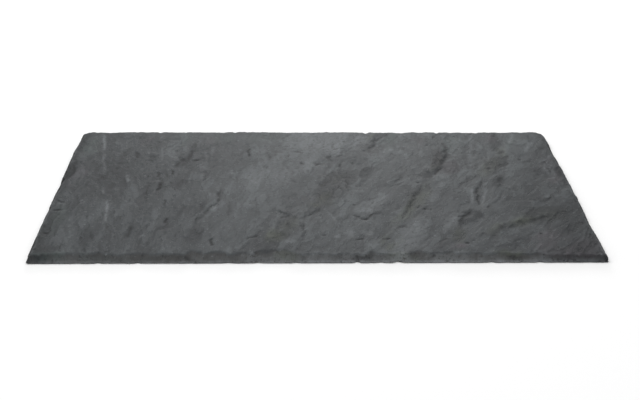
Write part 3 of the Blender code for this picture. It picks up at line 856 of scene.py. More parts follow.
    spots: tuple[Stain, ...] = (
        # small marks on the right
        Stain(Tint.BROKEN_SKIN_AND_SHADE, 149, 67, 10, 5, 72, 0.3, 0.5),
        Stain(Tint.BROKEN_SKIN_AND_SHADE, 155, 60, 6, 3, 30, 0.3, 0.5),
        Stain(Tint.BROKEN_SKIN_AND_SHADE, 166, 46, 3.5, 1.6, 80, 0.37, 0.4),
        Stain(Tint.BROKEN_SKIN_AND_SHADE, 177, 27, 6, 2.6, 60, 0.34, 0.4),
        Stain(Tint.BROKEN_SKIN_AND_SHADE, 194, 26, 13, 3.5, 84, 0.42, 0.6),
        Stain(Tint.BROKEN_SKIN_AND_SHADE, 139, 31, 3.5, 1.8, 60, 0.37, 0.4),
        Stain(Tint.BROKEN_SKIN_AND_SHADE, 104, 4, 3, 1.5, 0, 0.25, 0.4),
        Stain(Tint.BROKEN_SKIN_AND_SHADE, 95, 74, 5, 2, 60, 0.25, 0.4),
        Stain(Tint.BROKEN_SKIN_AND_SHADE, 81, -32, 5, 3.5, 0, 0.31, 0.4),
        Stain(Tint.BROKEN_SKIN_AND_SHADE, 117, -69, 7, 4, 40, 0.28, 0.4),
        Stain(Tint.BROKEN_SKIN_AND_SHADE, 104, -80, 3.5, 1.6, 0, 0.37, 0.4),
        Stain(Tint.BROKEN_SKIN_AND_SHADE, 159, -69, 3.5, 2.4, 70, 0.37, 0.4),
        Stain(Tint.PALE, 114, 58, 5, 3, -30, 0.3, 0.4),
        # small marks in the middle
        Stain(Tint.BROKEN_SKIN_AND_SHADE, 57, 6, 7, 3, 60, 0.26, 0.4),
        Stain(Tint.BROKEN_SKIN_AND_SHADE, 1, 95, 3, 2, 0, 0.31, 0.5),
        Stain(Tint.BROKEN_SKIN_AND_SHADE, -9, 38, 4.5, 3, 80, 0.31, 0.4),
        Stain(Tint.BROKEN_SKIN_AND_SHADE, 3, 38, 4.5, 2.6, 70, 0.31, 0.4),
        Stain(Tint.BROKEN_SKIN_AND_SHADE, 12, 51, 4.5, 2.4, 80, 0.25, 0.4),
        Stain(Tint.BROKEN_SKIN_AND_SHADE, 11, 60, 2.5, 1.5, 0, 0.31, 0.4),
        Stain(Tint.BROKEN_SKIN_AND_SHADE, 42, 48, 3.5, 2.6, 0, 0.31, 0.4),
        Stain(Tint.BROKEN_SKIN_AND_SHADE, 57, 30, 2.5, 2, 0, 0.31, 0.4),
        Stain(Tint.BROKEN_SKIN_AND_SHADE, 75, 66, 6, 3, 0, 0.22, 0.4),
        Stain(Tint.BROKEN_SKIN_AND_SHADE, 66, 5, 3.5, 1.8, 70, 0.28, 0.4),
        Stain(Tint.BROKEN_SKIN_AND_SHADE, -49, -26, 2.5, 2.4, 0, 0.31, 0.4),
        Stain(Tint.BROKEN_SKIN_AND_SHADE, -44, -65, 9, 4, 85, 0.24, 0.4),
        Stain(Tint.BROKEN_SKIN_AND_SHADE, 23, -22, 3.5, 2, 0, 0.28, 0.4),
        Stain(Tint.BROKEN_SKIN_AND_SHADE, 54, -26, 3, 1.6, 90, 0.25, 0.4),
        Stain(Tint.BROKEN_SKIN_AND_SHADE, 45, -38, 5, 3, 30, 0.28, 0.4),
        Stain(Tint.BROKEN_SKIN_AND_SHADE, 60, -32, 9, 4, 60, 0.24, 0.4),
        Stain(Tint.BROKEN_SKIN_AND_SHADE, 30, -75, 4.5, 2.6, 0, 0.34, 0.4),
        Stain(Tint.BROKEN_SKIN_AND_SHADE, 5, -70, 2.5, 1.8, 0, 0.28, 0.4),
        Stain(Tint.BROKEN_SKIN_AND_SHADE, 37, -91, 5, 2.4, 60, 0.31, 0.4),
        Stain(Tint.PALE, 13, -72, 4, 3.4, 0, 0.22, 0.3),
        Stain(Tint.PALE, 35, -66, 7, 5, 0, 0.15, 0.3),
        Stain(Tint.PALE, 54, 74, 4, 2, 80, 0.2, 0.4),
        Stain(Tint.PALE, 65, 64, 4, 2, 20, 0.18, 0.4),
        Stain(Tint.PALE, 75, 55, 4, 2, 0, 0.18, 0.4),
        # small marks on the left
        Stain(Tint.BROKEN_SKIN_AND_SHADE, -97, 45, 5.5, 4, 0, 0.37, 0.4),
        Stain(Tint.BROKEN_SKIN_AND_SHADE, -133, 67, 3, 2, 0, 0.26, 0.4),
        Stain(Tint.BROKEN_SKIN_AND_SHADE, -82, 73, 3, 1.8, 60, 0.31, 0.4),
        Stain(Tint.BROKEN_SKIN_AND_SHADE, -88, 66, 2.6, 1.6, 60, 0.31, 0.4),
        Stain(Tint.BROKEN_SKIN_AND_SHADE, -82, 50, 2.8, 2, 80, 0.28, 0.4),
        Stain(Tint.BROKEN_SKIN_AND_SHADE, -79, 35, 2.8, 2, 80, 0.28, 0.4),
        Stain(Tint.BROKEN_SKIN_AND_SHADE, -166, 16, 7, 3, 75, 0.26, 0.4),
        Stain(Tint.BROKEN_SKIN_AND_SHADE, -107, -14, 2.6, 2, 0, 0.34, 0.4),
        Stain(Tint.BROKEN_SKIN_AND_SHADE, -108, -50, 9, 3.4, 80, 0.43, 0.35),
        Stain(Tint.BROKEN_SKIN_AND_SHADE, -112, -60, 8, 3.6, 40, 0.28, 0.4),
        Stain(Tint.BROKEN_SKIN_AND_SHADE, -91, -63, 5, 3.6, 60, 0.26, 0.4),
        Stain(Tint.BROKEN_SKIN_AND_SHADE, -125, -48, 9, 6, 0, 0.15, 0.35),
        Stain(Tint.PALE, -67, 24, 5, 2, 85, 0.25, 0.4),
        Stain(Tint.PALE, -124, -70, 5, 2, 70, 0.25, 0.4),
    )
    streaks: tuple[Streak, ...] = (
        # the two long pale scratches
        Streak(Tint.PALE, ((-179, 96), (-177, 83), (-175, 73), (-173, 60)), 1.2, 0.42),
        Streak(Tint.PALE, ((-173, 60), (-171, 46), (-168, 34), (-165, 16)), 1.3, 0.3),
        Streak(Tint.PALE, ((-164, 4), (-161, -12)), 0.9, 0.2),
        Streak(Tint.PALE, ((-157, -18), (-155, -31), (-154, -40), (-152, -56)), 1.1, 0.6),
        Streak(Tint.PALE, ((136, 96), (133, 80), (129, 62), (128, 48), (124, 34)), 2.0, 0.28),
        # shorter marks
        Streak(Tint.PALE, ((172, 96), (164, 74)), 1.6, 0.3),
        Streak(Tint.PALE, ((186, 80), (179, 70), (174, 58)), 2.4, 0.34),
        Streak(Tint.PALE, ((-148, 22), (-145, 8)), 1.3, 0.45),
        Streak(Tint.PALE, ((-176, -19), (-174, -27)), 1.3, 0.5),
        Streak(Tint.PALE, ((121, 0), (119, -12), (117, -28)), 1.1, 0.28),
        Streak(Tint.PALE, ((133, 0), (123, -27)), 1.4, 0.25),
        Streak(Tint.PALE, ((110, -38), (102, -47), (98, -54), (92, -66)), 3.4, 0.2),
        Streak(Tint.PALE, ((-72, -20), (-77, -38)), 1.3, 0.3),
        Streak(Tint.PALE, ((40, 94), (36, 80), (33, 67)), 1.8, 0.14),
        Streak(Tint.PALE, ((22, 67), (20, 52)), 1.4, 0.25),
        Streak(Tint.PALE, ((-90, 61), (-87, 48)), 1.3, 0.3),
        Streak(Tint.PALE, ((-83, 71), (-84, 55)), 1.3, 0.3),
        Streak(Tint.PALE, ((5, -33), (12, -44), (16, -56)), 1.1, 0.18),
        # soft dark lines: painted shade along ledges and cracks, and dark lines in the rock
        Streak(Tint.BROKEN_SKIN_AND_SHADE, ((118, -68), (122, -72), (131, -64), (134, -56)), 2.2, 0.31),
        Streak(Tint.BROKEN_SKIN_AND_SHADE, ((162, -44), (154, -49), (148, -50), (139, -57), (134, -63)), 3.0, 0.3),
        Streak(Tint.BROKEN_SKIN_AND_SHADE, ((154, -26), (147, -38)), 1.3, 0.25),
        Streak(Tint.BROKEN_SKIN_AND_SHADE, ((96, -62), (90, -78), (84, -90)), 2.2, 0.2),
        Streak(Tint.BROKEN_SKIN_AND_SHADE, ((191, 76), (188, 60), (185, 46), (183, 32)), 1.9, 0.26),
        Streak(Tint.BROKEN_SKIN_AND_SHADE, ((133, 47), (130, 38), (128, 27)), 1.7, 0.3),
        Streak(Tint.BROKEN_SKIN_AND_SHADE, ((125, 21), (118, 12), (111, 3)), 1.3, 0.28),
        Streak(Tint.BROKEN_SKIN_AND_SHADE, ((147, 19), (143, 10), (140, -1)), 2.0, 0.31),
        Streak(Tint.BROKEN_SKIN_AND_SHADE, ((86, 39), (84, 29)), 1.3, 0.25),
        Streak(Tint.BROKEN_SKIN_AND_SHADE, ((78, -5), (70, -22), (62, -38)), 2.6, 0.24),
        Streak(Tint.BROKEN_SKIN_AND_SHADE, ((52, -61), (46, -74), (40, -85)), 2.2, 0.2),
        Streak(Tint.BROKEN_SKIN_AND_SHADE, ((56, 101), (52, 86), (49, 78)), 2.0, 0.34),
        Streak(Tint.BROKEN_SKIN_AND_SHADE, ((46, 78), (43, 62)), 2.2, 0.22),
        Streak(Tint.BROKEN_SKIN_AND_SHADE, ((67, 75), (68, 70), (68, 63)), 1.3, 0.26),
        Streak(Tint.BROKEN_SKIN_AND_SHADE, ((35, 56), (33, 46), (29, 35)), 1.7, 0.3),
        Streak(Tint.BROKEN_SKIN_AND_SHADE, ((38, 47), (34, 36)), 1.5, 0.26),
        Streak(Tint.BROKEN_SKIN_AND_SHADE, ((23, 49), (21, 42), (20, 31)), 1.3, 0.3),
        Streak(Tint.BROKEN_SKIN_AND_SHADE, ((12, 41), (12, 31)), 1.2, 0.26),
        Streak(Tint.BROKEN_SKIN_AND_SHADE, ((27, 18), (23, 7)), 1.5, 0.26),
        Streak(Tint.BROKEN_SKIN_AND_SHADE, ((5, 21), (4, 10), (4, -1)), 1.8, 0.31),
        Streak(Tint.BROKEN_SKIN_AND_SHADE, ((-1, 35), (-2, 23)), 1.1, 0.24),
        Streak(Tint.BROKEN_SKIN_AND_SHADE, ((-5, 55), (-5, 44)), 1.2, 0.25),
        Streak(Tint.BROKEN_SKIN_AND_SHADE, ((-21, 60), (-6, 59)), 1.8, 0.28),
        Streak(Tint.BROKEN_SKIN_AND_SHADE, ((-22, 37), (-21, 29)), 1.3, 0.26),
        Streak(Tint.BROKEN_SKIN_AND_SHADE, ((-27, 41), (-29, 32), (-29, 25)), 1.4, 0.3),
        Streak(Tint.BROKEN_SKIN_AND_SHADE, ((-21, 63), (-23, 50), (-24, 41)), 1.2, 0.26),
        Streak(Tint.BROKEN_SKIN_AND_SHADE, ((-31, 63), (-31, 53)), 1.5, 0.32),
        Streak(Tint.BROKEN_SKIN_AND_SHADE, ((-41, 61), (-38, 52), (-35, 43)), 1.5, 0.25),
        Streak(Tint.BROKEN_SKIN_AND_SHADE, ((-56, 77), (-54, 60), (-56, 46)), 1.9, 0.22),
        Streak(Tint.BROKEN_SKIN_AND_SHADE, ((-27, -31), (-26, -38), (-15, -40)), 1.5, 0.31),
        Streak(Tint.BROKEN_SKIN_AND_SHADE, ((-15, -43), (-7, -39), (0, -37)), 2.0, 0.34),
        Streak(Tint.BROKEN_SKIN_AND_SHADE, ((-13, -47), (-10, -58), (-10, -68), (-12, -81)), 1.7, 0.31),
        Streak(Tint.BROKEN_SKIN_AND_SHADE, ((-29, -77), (-28, -91)), 1.4, 0.26),
        Streak(Tint.BROKEN_SKIN_AND_SHADE, ((24, -40), (29, -45), (35, -48), (42, -43), (48, -38)), 2.3, 0.19),
        Streak(Tint.BROKEN_SKIN_AND_SHADE, ((39, -20), (46, -17)), 1.2, 0.24),
        Streak(Tint.BROKEN_SKIN_AND_SHADE, ((33, -22), (42, -18), (54, -12)), 1.6, 0.19),
        # soft dark lines on the left, with an arch: painted shade along ledges and cracks, and dark lines in
        # the rock
        Streak(Tint.BROKEN_SKIN_AND_SHADE, ((-128, -30), (-127, -12), (-127, 3), (-125, 9), (-121, 10)), 1.4, 0.34),
        Streak(Tint.BROKEN_SKIN_AND_SHADE, ((-118, 11), (-120, 3), (-121, -8)), 1.7, 0.5),
        Streak(Tint.BROKEN_SKIN_AND_SHADE, ((-114, 31), (-112, 17)), 1.6, 0.31),
        Streak(Tint.BROKEN_SKIN_AND_SHADE, ((-117, 25), (-116, 16)), 1.3, 0.31),
        Streak(Tint.BROKEN_SKIN_AND_SHADE, ((-123, 25), (-121, 12)), 1.4, 0.3),
        Streak(Tint.BROKEN_SKIN_AND_SHADE, ((-86, 31), (-86, 18), (-87, 5)), 1.4, 0.31),
        Streak(Tint.BROKEN_SKIN_AND_SHADE, ((-118, 75), (-117, 65)), 1.2, 0.24),
        Streak(Tint.BROKEN_SKIN_AND_SHADE, ((-147, 62), (-145, 53), (-143, 46)), 1.5, 0.26),
        Streak(Tint.BROKEN_SKIN_AND_SHADE, ((-166, -13), (-164, -25)), 1.4, 0.26),
        Streak(Tint.BROKEN_SKIN_AND_SHADE, ((-168, -37), (-166, -51)), 1.8, 0.24),
        Streak(Tint.BROKEN_SKIN_AND_SHADE, ((-114, -17), (-113, -31)), 1.5, 0.31),
        Streak(Tint.BROKEN_SKIN_AND_SHADE, ((-97, -24), (-103, -40)), 1.8, 0.26),
        Streak(Tint.BROKEN_SKIN_AND_SHADE, ((-82, -20), (-86, -38), (-87, -57)), 2.4, 0.34),
        Streak(Tint.BROKEN_SKIN_AND_SHADE, ((-76, -4), (-74, -14), (-80, -29)), 2.2, 0.3),
        Streak(Tint.BROKEN_SKIN_AND_SHADE, ((-68, -16), (-66, -30), (-65, -46)), 2.2, 0.3),
        Streak(Tint.BROKEN_SKIN_AND_SHADE, ((-101, -94), (-91, -96), (-82, -99), (-72, -102)), 1.0, 0.31),
        # the dark rims of the side edges, and of the right half of the back edge
        Streak(Tint.DARK, ((-199, 130), (-200, 0), (-199, -130)), 7.5, 0.8),
        Streak(Tint.DARK, ((199, 130), (200, 0), (200, -130)), 6.0, 0.65),
        Streak(Tint.DARK, ((80, 98), (180, 98)), 1.8, 0.4),
        # painted light: the front lip is paler, as its flatter slope catches more light
        Streak(Tint.PALE, ((-260, -100), (260, -98)), 1.1, 0.3),
        Streak(Tint.PALE, ((-60, -100), (280, -98)), 1.4, 0.42),
    )

    def shares(self, x: np.ndarray, y: np.ndarray, face: CleftFace) -> dict[Tint, np.ndarray]:
        """Works out how much of each tint the markings give the slate.

        Args:
            x, y: the points, in millimetres.
            face: the cleft face that they mark.

        Returns:
            The share of each tint at each point.
        """
        shares = {tint: np.zeros_like(x) for tint in Tint}
        wavered_x, wavered_y = wavered(x, y, face.waver)
        ragged = face.grain.layered(x, y, self.raggedness)
        broad = [(stain.tint, self._stained(wavered_x, wavered_y, ragged, stain)) for stain in self.stains]
        small = [(spot.tint, self._stained(wavered_x, wavered_y, ragged, spot)) for spot in self.spots]
        # painted shade on each ledge's sloping face, darker the steeper it is
        for ledge in face.ledges:
            away, side, along = path_distance(wavered_x, wavered_y, ledge.path)
            from_middle = (away * side - ledge.face / 2) / (self.ledge_painted_shade_width * ledge.face)
            steepness = ledge.drop / ledge.face
            share = self.ledge_painted_shade * steepness * ends_fade(along) * np.exp(-(from_middle**2))
            broad.append((Tint.DARK, share))
        # painted shade in each crack, darker the deeper it is
        for crack in face.cracks:
            away, _, along = path_distance(wavered_x, wavered_y, crack.path)
            open_share = ends_fade(along) * np.exp(-((away / crack.half_width) ** 2))
            broad.append((Tint.DARK, self.crack_painted_shade * crack.depth * open_share))
        broken = np.clip(1.0 + self.streak_rim * ragged, 0.0, self.streak_peak)
        for streak in self.streaks:
            away, _, along = path_distance(x, y, streak.path)
            share = streak.strength * ends_fade(along) * np.exp(-((away / streak.half_width) ** 2))
            small.append((streak.tint, share * broken))
        # broad marks merge with one another, and small ones lie over them
        for tint, share in broad:
            shares[tint] = np.maximum(shares[tint], share)
        for tint, share in small:
            shares[tint] += share * (1.0 - shares[tint])
        return shares

    def _stained(self, x: np.ndarray, y: np.ndarray, ragged: np.ndarray, stain: Stain) -> np.ndarray:
        """Works out how much of its tint one stain gives the slate.

        Args:
            x, y: the points, in millimetres.
            ragged: noise that makes rims ragged, at each point.
            stain: the stain.

        Returns:
            The share of the stain's tint at each point.
        """
        within = self.stain_reach - oval_distance(x, y, stain)
        return stain.strength * smoothstep(0.5 + within / stain.softness + self.stain_rim * ragged)


class Pattern(Enum):
    """A pattern in the slate."""

    CLOUDS = "clouds"
    MOTTLE = "mottle"
    DASHES = "dashes"
    SPECKS = "specks"
    GRIT = "grit"
    SHADES = "shades of the flakes"
    RIMS = "rims of the flakes"


@dataclass(frozen=True)
class PatternNoise:
    """The noise that makes a pattern: the size of its lumps in millimetres, and how far its detail goes."""

    pattern: Pattern
    size: float
    detail: float
    in_grain: bool = True


@dataclass(frozen=True)
class RivenSlate:
    """Dark grey slate, split by hand and left as it split.

    Slate is fine clay pressed into parallel flakes of mica. A split face is nearly matt, with a soft silky
    sheen from the mica and the ragged edges of flakes thinner than paper. Iron in the clay clouds it with
    olive and plum, and its hollows are darkened with painted shade and some dirt.
    """

    ground: str = "#2f3133"
    light: str = "#4e5254"
    # the dark colour serves dark rock and painted shade alike
    dark: str = "#1b1d1f"
    # the pale colour serves pale marks and painted light alike
    pale: str = "#808487"
    teal: str = "#444b4a"
    olive: str = "#464a41"
    plum: str = "#4b454a"
    chipped: str = "#4e4d4c"
    chipped_share: float = 0.6
    roughness: float = 0.62
    chipped_roughness: float = 0.25  # more than that, since a chipped edge has none of the cleft face's sheen
    speck_roughness: float = 0.14  # how far the specks vary it
    specular: float = 0.2
    broken_sheen: float = 0.5  # the share of the sheen that a broken skin keeps
    noises: tuple[PatternNoise, ...] = (
        PatternNoise(Pattern.CLOUDS, 42.0, 3.0),
        PatternNoise(Pattern.MOTTLE, 13.0, 5.0),
        PatternNoise(Pattern.DASHES, 3.0, 3.0),
        PatternNoise(Pattern.SPECKS, 2.4, 3.0, in_grain=False),
        # the real grit is finer still, and would not show
        PatternNoise(Pattern.GRIT, 0.8, 2.0, in_grain=False),
    )
    detail_strength: float = 0.6
    stretch: float = 0.4  # the lower, the further patterns are drawn out along the grain
    flake_layers: float = 9.0
    flake_thickness: float = 0.09
    flake_slope: float = 0.16
    reliefs: tuple[tuple[Pattern, float], ...] = (
        (Pattern.MOTTLE, 0.42),
        (Pattern.SPECKS, 0.10),
        (Pattern.GRIT, 0.04),
    )
    lightness_shares: tuple[tuple[Pattern, float], ...] = (
        (Pattern.CLOUDS, 0.31),
        (Pattern.MOTTLE, 0.37),
        (Pattern.SHADES, 0.08),
        (Pattern.DASHES, 0.15),
        (Pattern.SPECKS, 0.09),
    )
    # the stretch of a pattern over which each of these comes in
    lightness_range: tuple[float, float] = (0.38, 0.62)
    patch_range: tuple[float, float] = (0.35, 0.58)
    skin_range: tuple[float, float] = (0.3, 0.45)
    fleck_range: tuple[float, float] = (0.63, 0.72)
    dash_range: tuple[float, float] = (0.59, 0.68)
    fleck_strength: float = 0.3
    dash_strength: float = 0.4
    # how much the flakes' rims are darkened, as painted shade on their small steps
    rim_painted_shade: float = 0.25
    grain: Grain = Grain()

    def material(self) -> bpy.types.Material:
        """Makes the material's nodes.

        Returns:
            The material, which reads the slab's Tint attributes and its Object coordinates.
        """
        material = bpy.data.materials.new("riven slate")
        material.use_nodes = True
        tree = material.node_tree
        shader = tree.nodes["Principled BSDF"]
        patterns = self._patterns(tree)
        flakes, rims, shades = self._flakes(tree, patterns[Pattern.MOTTLE])
        patterns |= {Pattern.RIMS: rims, Pattern.SHADES: shades}
        tints = {
            tint: add_node(tree, "ShaderNodeAttribute", {"attribute_name": tint.value}).outputs["Fac"]
            for tint in Tint
        }
        tree.links.new(self._colour(tree, patterns, tints), shader.inputs["Base Color"])
        tree.links.new(self._normal(tree, patterns, flakes), shader.inputs["Normal"])

        # the sheen goes where the skin does
        sheen = add_node(
            tree,
            "ShaderNodeMath",
            {"operation": "MULTIPLY_ADD"},
            {0: tints[Tint.BROKEN_SKIN_AND_SHADE], 1: self.specular * (self.broken_sheen - 1.0), 2: self.specular},
        )
        tree.links.new(sheen.outputs["Value"], shader.inputs["Specular IOR Level"])

        # the specks vary the roughness about its value
        roughness = self.roughness - self.speck_roughness / 2
        for share, rougher in (
            (tints[Tint.CHIPPED], self.chipped_roughness),
            (patterns[Pattern.SPECKS], self.speck_roughness),
        ):
            roughness = add_node(
                tree, "ShaderNodeMath", {"operation": "MULTIPLY_ADD"}, {0: share, 1: rougher, 2: roughness}
            ).outputs["Value"]
        tree.links.new(roughness, shader.inputs["Roughness"])
        return material

    def _patterns(self, tree: bpy.types.NodeTree) -> dict[Pattern, bpy.types.NodeSocket]:
        """Makes the patterns that are plain noise.

        Args:
            tree: the material's nodes.

        Returns:
            The output of each, from 0 to 1.
        """
        place = add_node(tree, "ShaderNodeTexCoord").outputs["Object"]
        along_grain = self._along_grain(tree, place)
        return {
            made.pattern: add_node(
                tree,
                "ShaderNodeTexNoise",
                links={
                    "Vector": along_grain if made.in_grain else place,
                    "Scale": 1.0 / (made.size * MM),
                    "Detail": made.detail,
                    "Roughness": self.detail_strength,
                },
            ).outputs["Fac"]
            for made in self.noises
        }

    def _along_grain(self, tree: bpy.types.NodeTree, place: bpy.types.NodeSocket) -> bpy.types.NodeSocket:
        """Bends places into the grain's fan, and draws patterns out along it.

        Args:
            tree: the material's nodes.
            place: the place on the slab.

        Returns:
            The place across and along the grain.
        """
        focus = (self.grain.focus[0] * MM, self.grain.focus[1] * MM, 0.0)
        out = add_node(
            tree, "ShaderNodeVectorMath", {"operation": "SUBTRACT"}, {0: place, 1: focus}
        ).outputs["Vector"]
        far = add_node(tree, "ShaderNodeVectorMath", {"operation": "LENGTH"}, {0: out}).outputs["Value"]
        parts = add_node(tree, "ShaderNodeSeparateXYZ", links={"Vector": out}).outputs
        turn = add_node(tree, "ShaderNodeMath", {"operation": "ARCTAN2"}, {0: parts["X"], 1: parts["Y"]})
        fan = add_node(
            tree, "ShaderNodeCombineXYZ", links={"X": turn.outputs["Value"], "Y": far, "Z": parts["Z"]}
        )
        scale = (self.grain.radius * MM, self.stretch, 1.0)
        scaled = add_node(
            tree, "ShaderNodeVectorMath", {"operation": "MULTIPLY"}, {0: fan.outputs["Vector"], 1: scale}
        )
        return scaled.outputs["Vector"]

    def _flakes(
        self, tree: bpy.types.NodeTree, mottle: bpy.types.NodeSocket
    ) -> tuple[bpy.types.NodeSocket, bpy.types.NodeSocket, bpy.types.NodeSocket]:
        """Splits the surface into thin flakes.

        Args:
            tree: the material's nodes.
            mottle: the pattern whose contours the flakes' edges follow.

        Returns:
            The flakes' height in millimetres, a share that is 1 on their rims, and each flake's own shade.
        """
        level = add_node(
            tree, "ShaderNodeMath", {"operation": "MULTIPLY"}, {0: mottle, 1: self.flake_layers}
        ).outputs["Value"]
        whole = add_node(tree, "ShaderNodeMath", {"operation": "FLOOR"}, {0: level}).outputs["Value"]
        within = add_node(tree, "ShaderNodeMath", {"operation": "FRACT"}, {0: level}).outputs["Value"]
        rise = add_node(
            tree,
            "ShaderNodeMapRange",
            {"interpolation_type": "SMOOTHSTEP"},
            {"Value": within, "From Min": 1.0 - self.flake_slope, "From Max": 1.0},
        ).outputs["Result"]
        stepped = add_node(tree, "ShaderNodeMath", {"operation": "ADD"}, {0: whole, 1: rise}).outputs["Value"]
        height = add_node(
            tree, "ShaderNodeMath", {"operation": "MULTIPLY"}, {0: stepped, 1: self.flake_thickness}
        )
        # a parabola that is 1 half way up the step and 0 on either side of it
        rest = add_node(tree, "ShaderNodeMath", {"operation": "SUBTRACT"}, {0: 1.0, 1: rise}).outputs["Value"]
        arch = add_node(tree, "ShaderNodeMath", {"operation": "MULTIPLY"}, {0: rise, 1: rest})
        rims = add_node(tree, "ShaderNodeMath", {"operation": "MULTIPLY"}, {0: arch.outputs["Value"], 1: 4.0})
        shades = add_node(tree, "ShaderNodeTexWhiteNoise", {"noise_dimensions": "1D"}, {"W": whole})
        return height.outputs["Value"], rims.outputs["Value"], shades.outputs["Value"]

    def _normal(
        self,
        tree: bpy.types.NodeTree,
        patterns: dict[Pattern, bpy.types.NodeSocket],
        flakes: bpy.types.NodeSocket,
    ) -> bpy.types.NodeSocket:
        """Raises the finest relief on the surface.

        Args:
            tree: the material's nodes.
            patterns: the patterns.
            flakes: the height of the thin flakes, in millimetres.

        Returns:
            The normal.
        """
        height = flakes
        for pattern, relief in self.reliefs:
            height = add_node(
                tree,
                "ShaderNodeMath",
                {"operation": "MULTIPLY_ADD"},
                {0: patterns[pattern], 1: relief, 2: height},
            ).outputs["Value"]
        bump = add_node(tree, "ShaderNodeBump", links={"Height": height, "Distance": MM, "Strength": 1.0})
        return bump.outputs["Normal"]

    def _colour(
        self,
        tree: bpy.types.NodeTree,
        patterns: dict[Pattern, bpy.types.NodeSocket],
        tints: dict[Tint, bpy.types.NodeSocket],
    ) -> bpy.types.NodeSocket:
        """Mixes the slate's colour.

        Args:
            tree: the material's nodes.
            patterns: the patterns.
            tints: the share of each tint.

        Returns:
            The colour.
        """
        lightness = 0.0
        for pattern, share in self.lightness_shares:
            lightness = add_node(
                tree,
                "ShaderNodeMath",
                {"operation": "MULTIPLY_ADD"},
                {0: patterns[pattern], 1: share, 2: lightness},
            ).outputs["Value"]
        # tints come out in patches and pale skin in specks, nowhere as an even wash, and pale flecks of mica
        # and dark dashes show where their patterns are at their highest
        lightness, patchy, skin, flecks, dark = (
            add_node(
                tree,
                "ShaderNodeMapRange",
                links={"Value": value, "From Min": low, "From Max": high, "To Max": strength},
            ).outputs["Result"]
            for value, (low, high), strength in (
                (lightness, self.lightness_range, 1.0),
                (patterns[Pattern.MOTTLE], self.patch_range, 1.0),
                (patterns[Pattern.SPECKS], self.skin_range, 1.0),
                (patterns[Pattern.SPECKS], self.fleck_range, self.fleck_strength),
                (patterns[Pattern.DASHES], self.dash_range, self.dash_strength),
            )
        )
        # darker on the flakes' rims, in the dark marks and in the hollows: the rims and hollows are painted
        # shade, and so is part of the dark marks
        for source, strength in (
            (patterns[Pattern.RIMS], self.rim_painted_shade),
            (tints[Tint.DARK], 1.0),
            (tints[Tint.BROKEN_SKIN_AND_SHADE], 1.0),
            (tints[Tint.HOLLOW_SHADE], 1.0),
        ):
            dark = add_node(
                tree, "ShaderNodeMath", {"operation": "MULTIPLY_ADD"}, {0: source, 1: strength, 2: dark}
            ).outputs["Value"]
        colour = linear(self.ground)
        for share, mask, code in (
            (lightness, 1.0, self.light),
            (tints[Tint.CHIPPED], self.chipped_share, self.chipped),
            (flecks, 1.0, self.pale),
            (tints[Tint.TEAL], patchy, self.teal),
            (tints[Tint.OLIVE], patchy, self.olive),
            (tints[Tint.PLUM], patchy, self.plum),
            (tints[Tint.PALE], skin, self.pale),
            (dark, 1.0, self.dark),
        ):
            masked = add_node(tree, "ShaderNodeMath", {"operation": "MULTIPLY"}, {0: share, 1: mask})
            # inputs 0, 6 and 7 of a mix of colours are the share and the two colours, and output 2 is the mix
            colour = add_node(
                tree,
                "ShaderNodeMix",
                {"data_type": "RGBA", "clamp_factor": True},
                {0: masked.outputs["Value"], 6: colour, 7: linear(code)},
            ).outputs[2]
        return colour


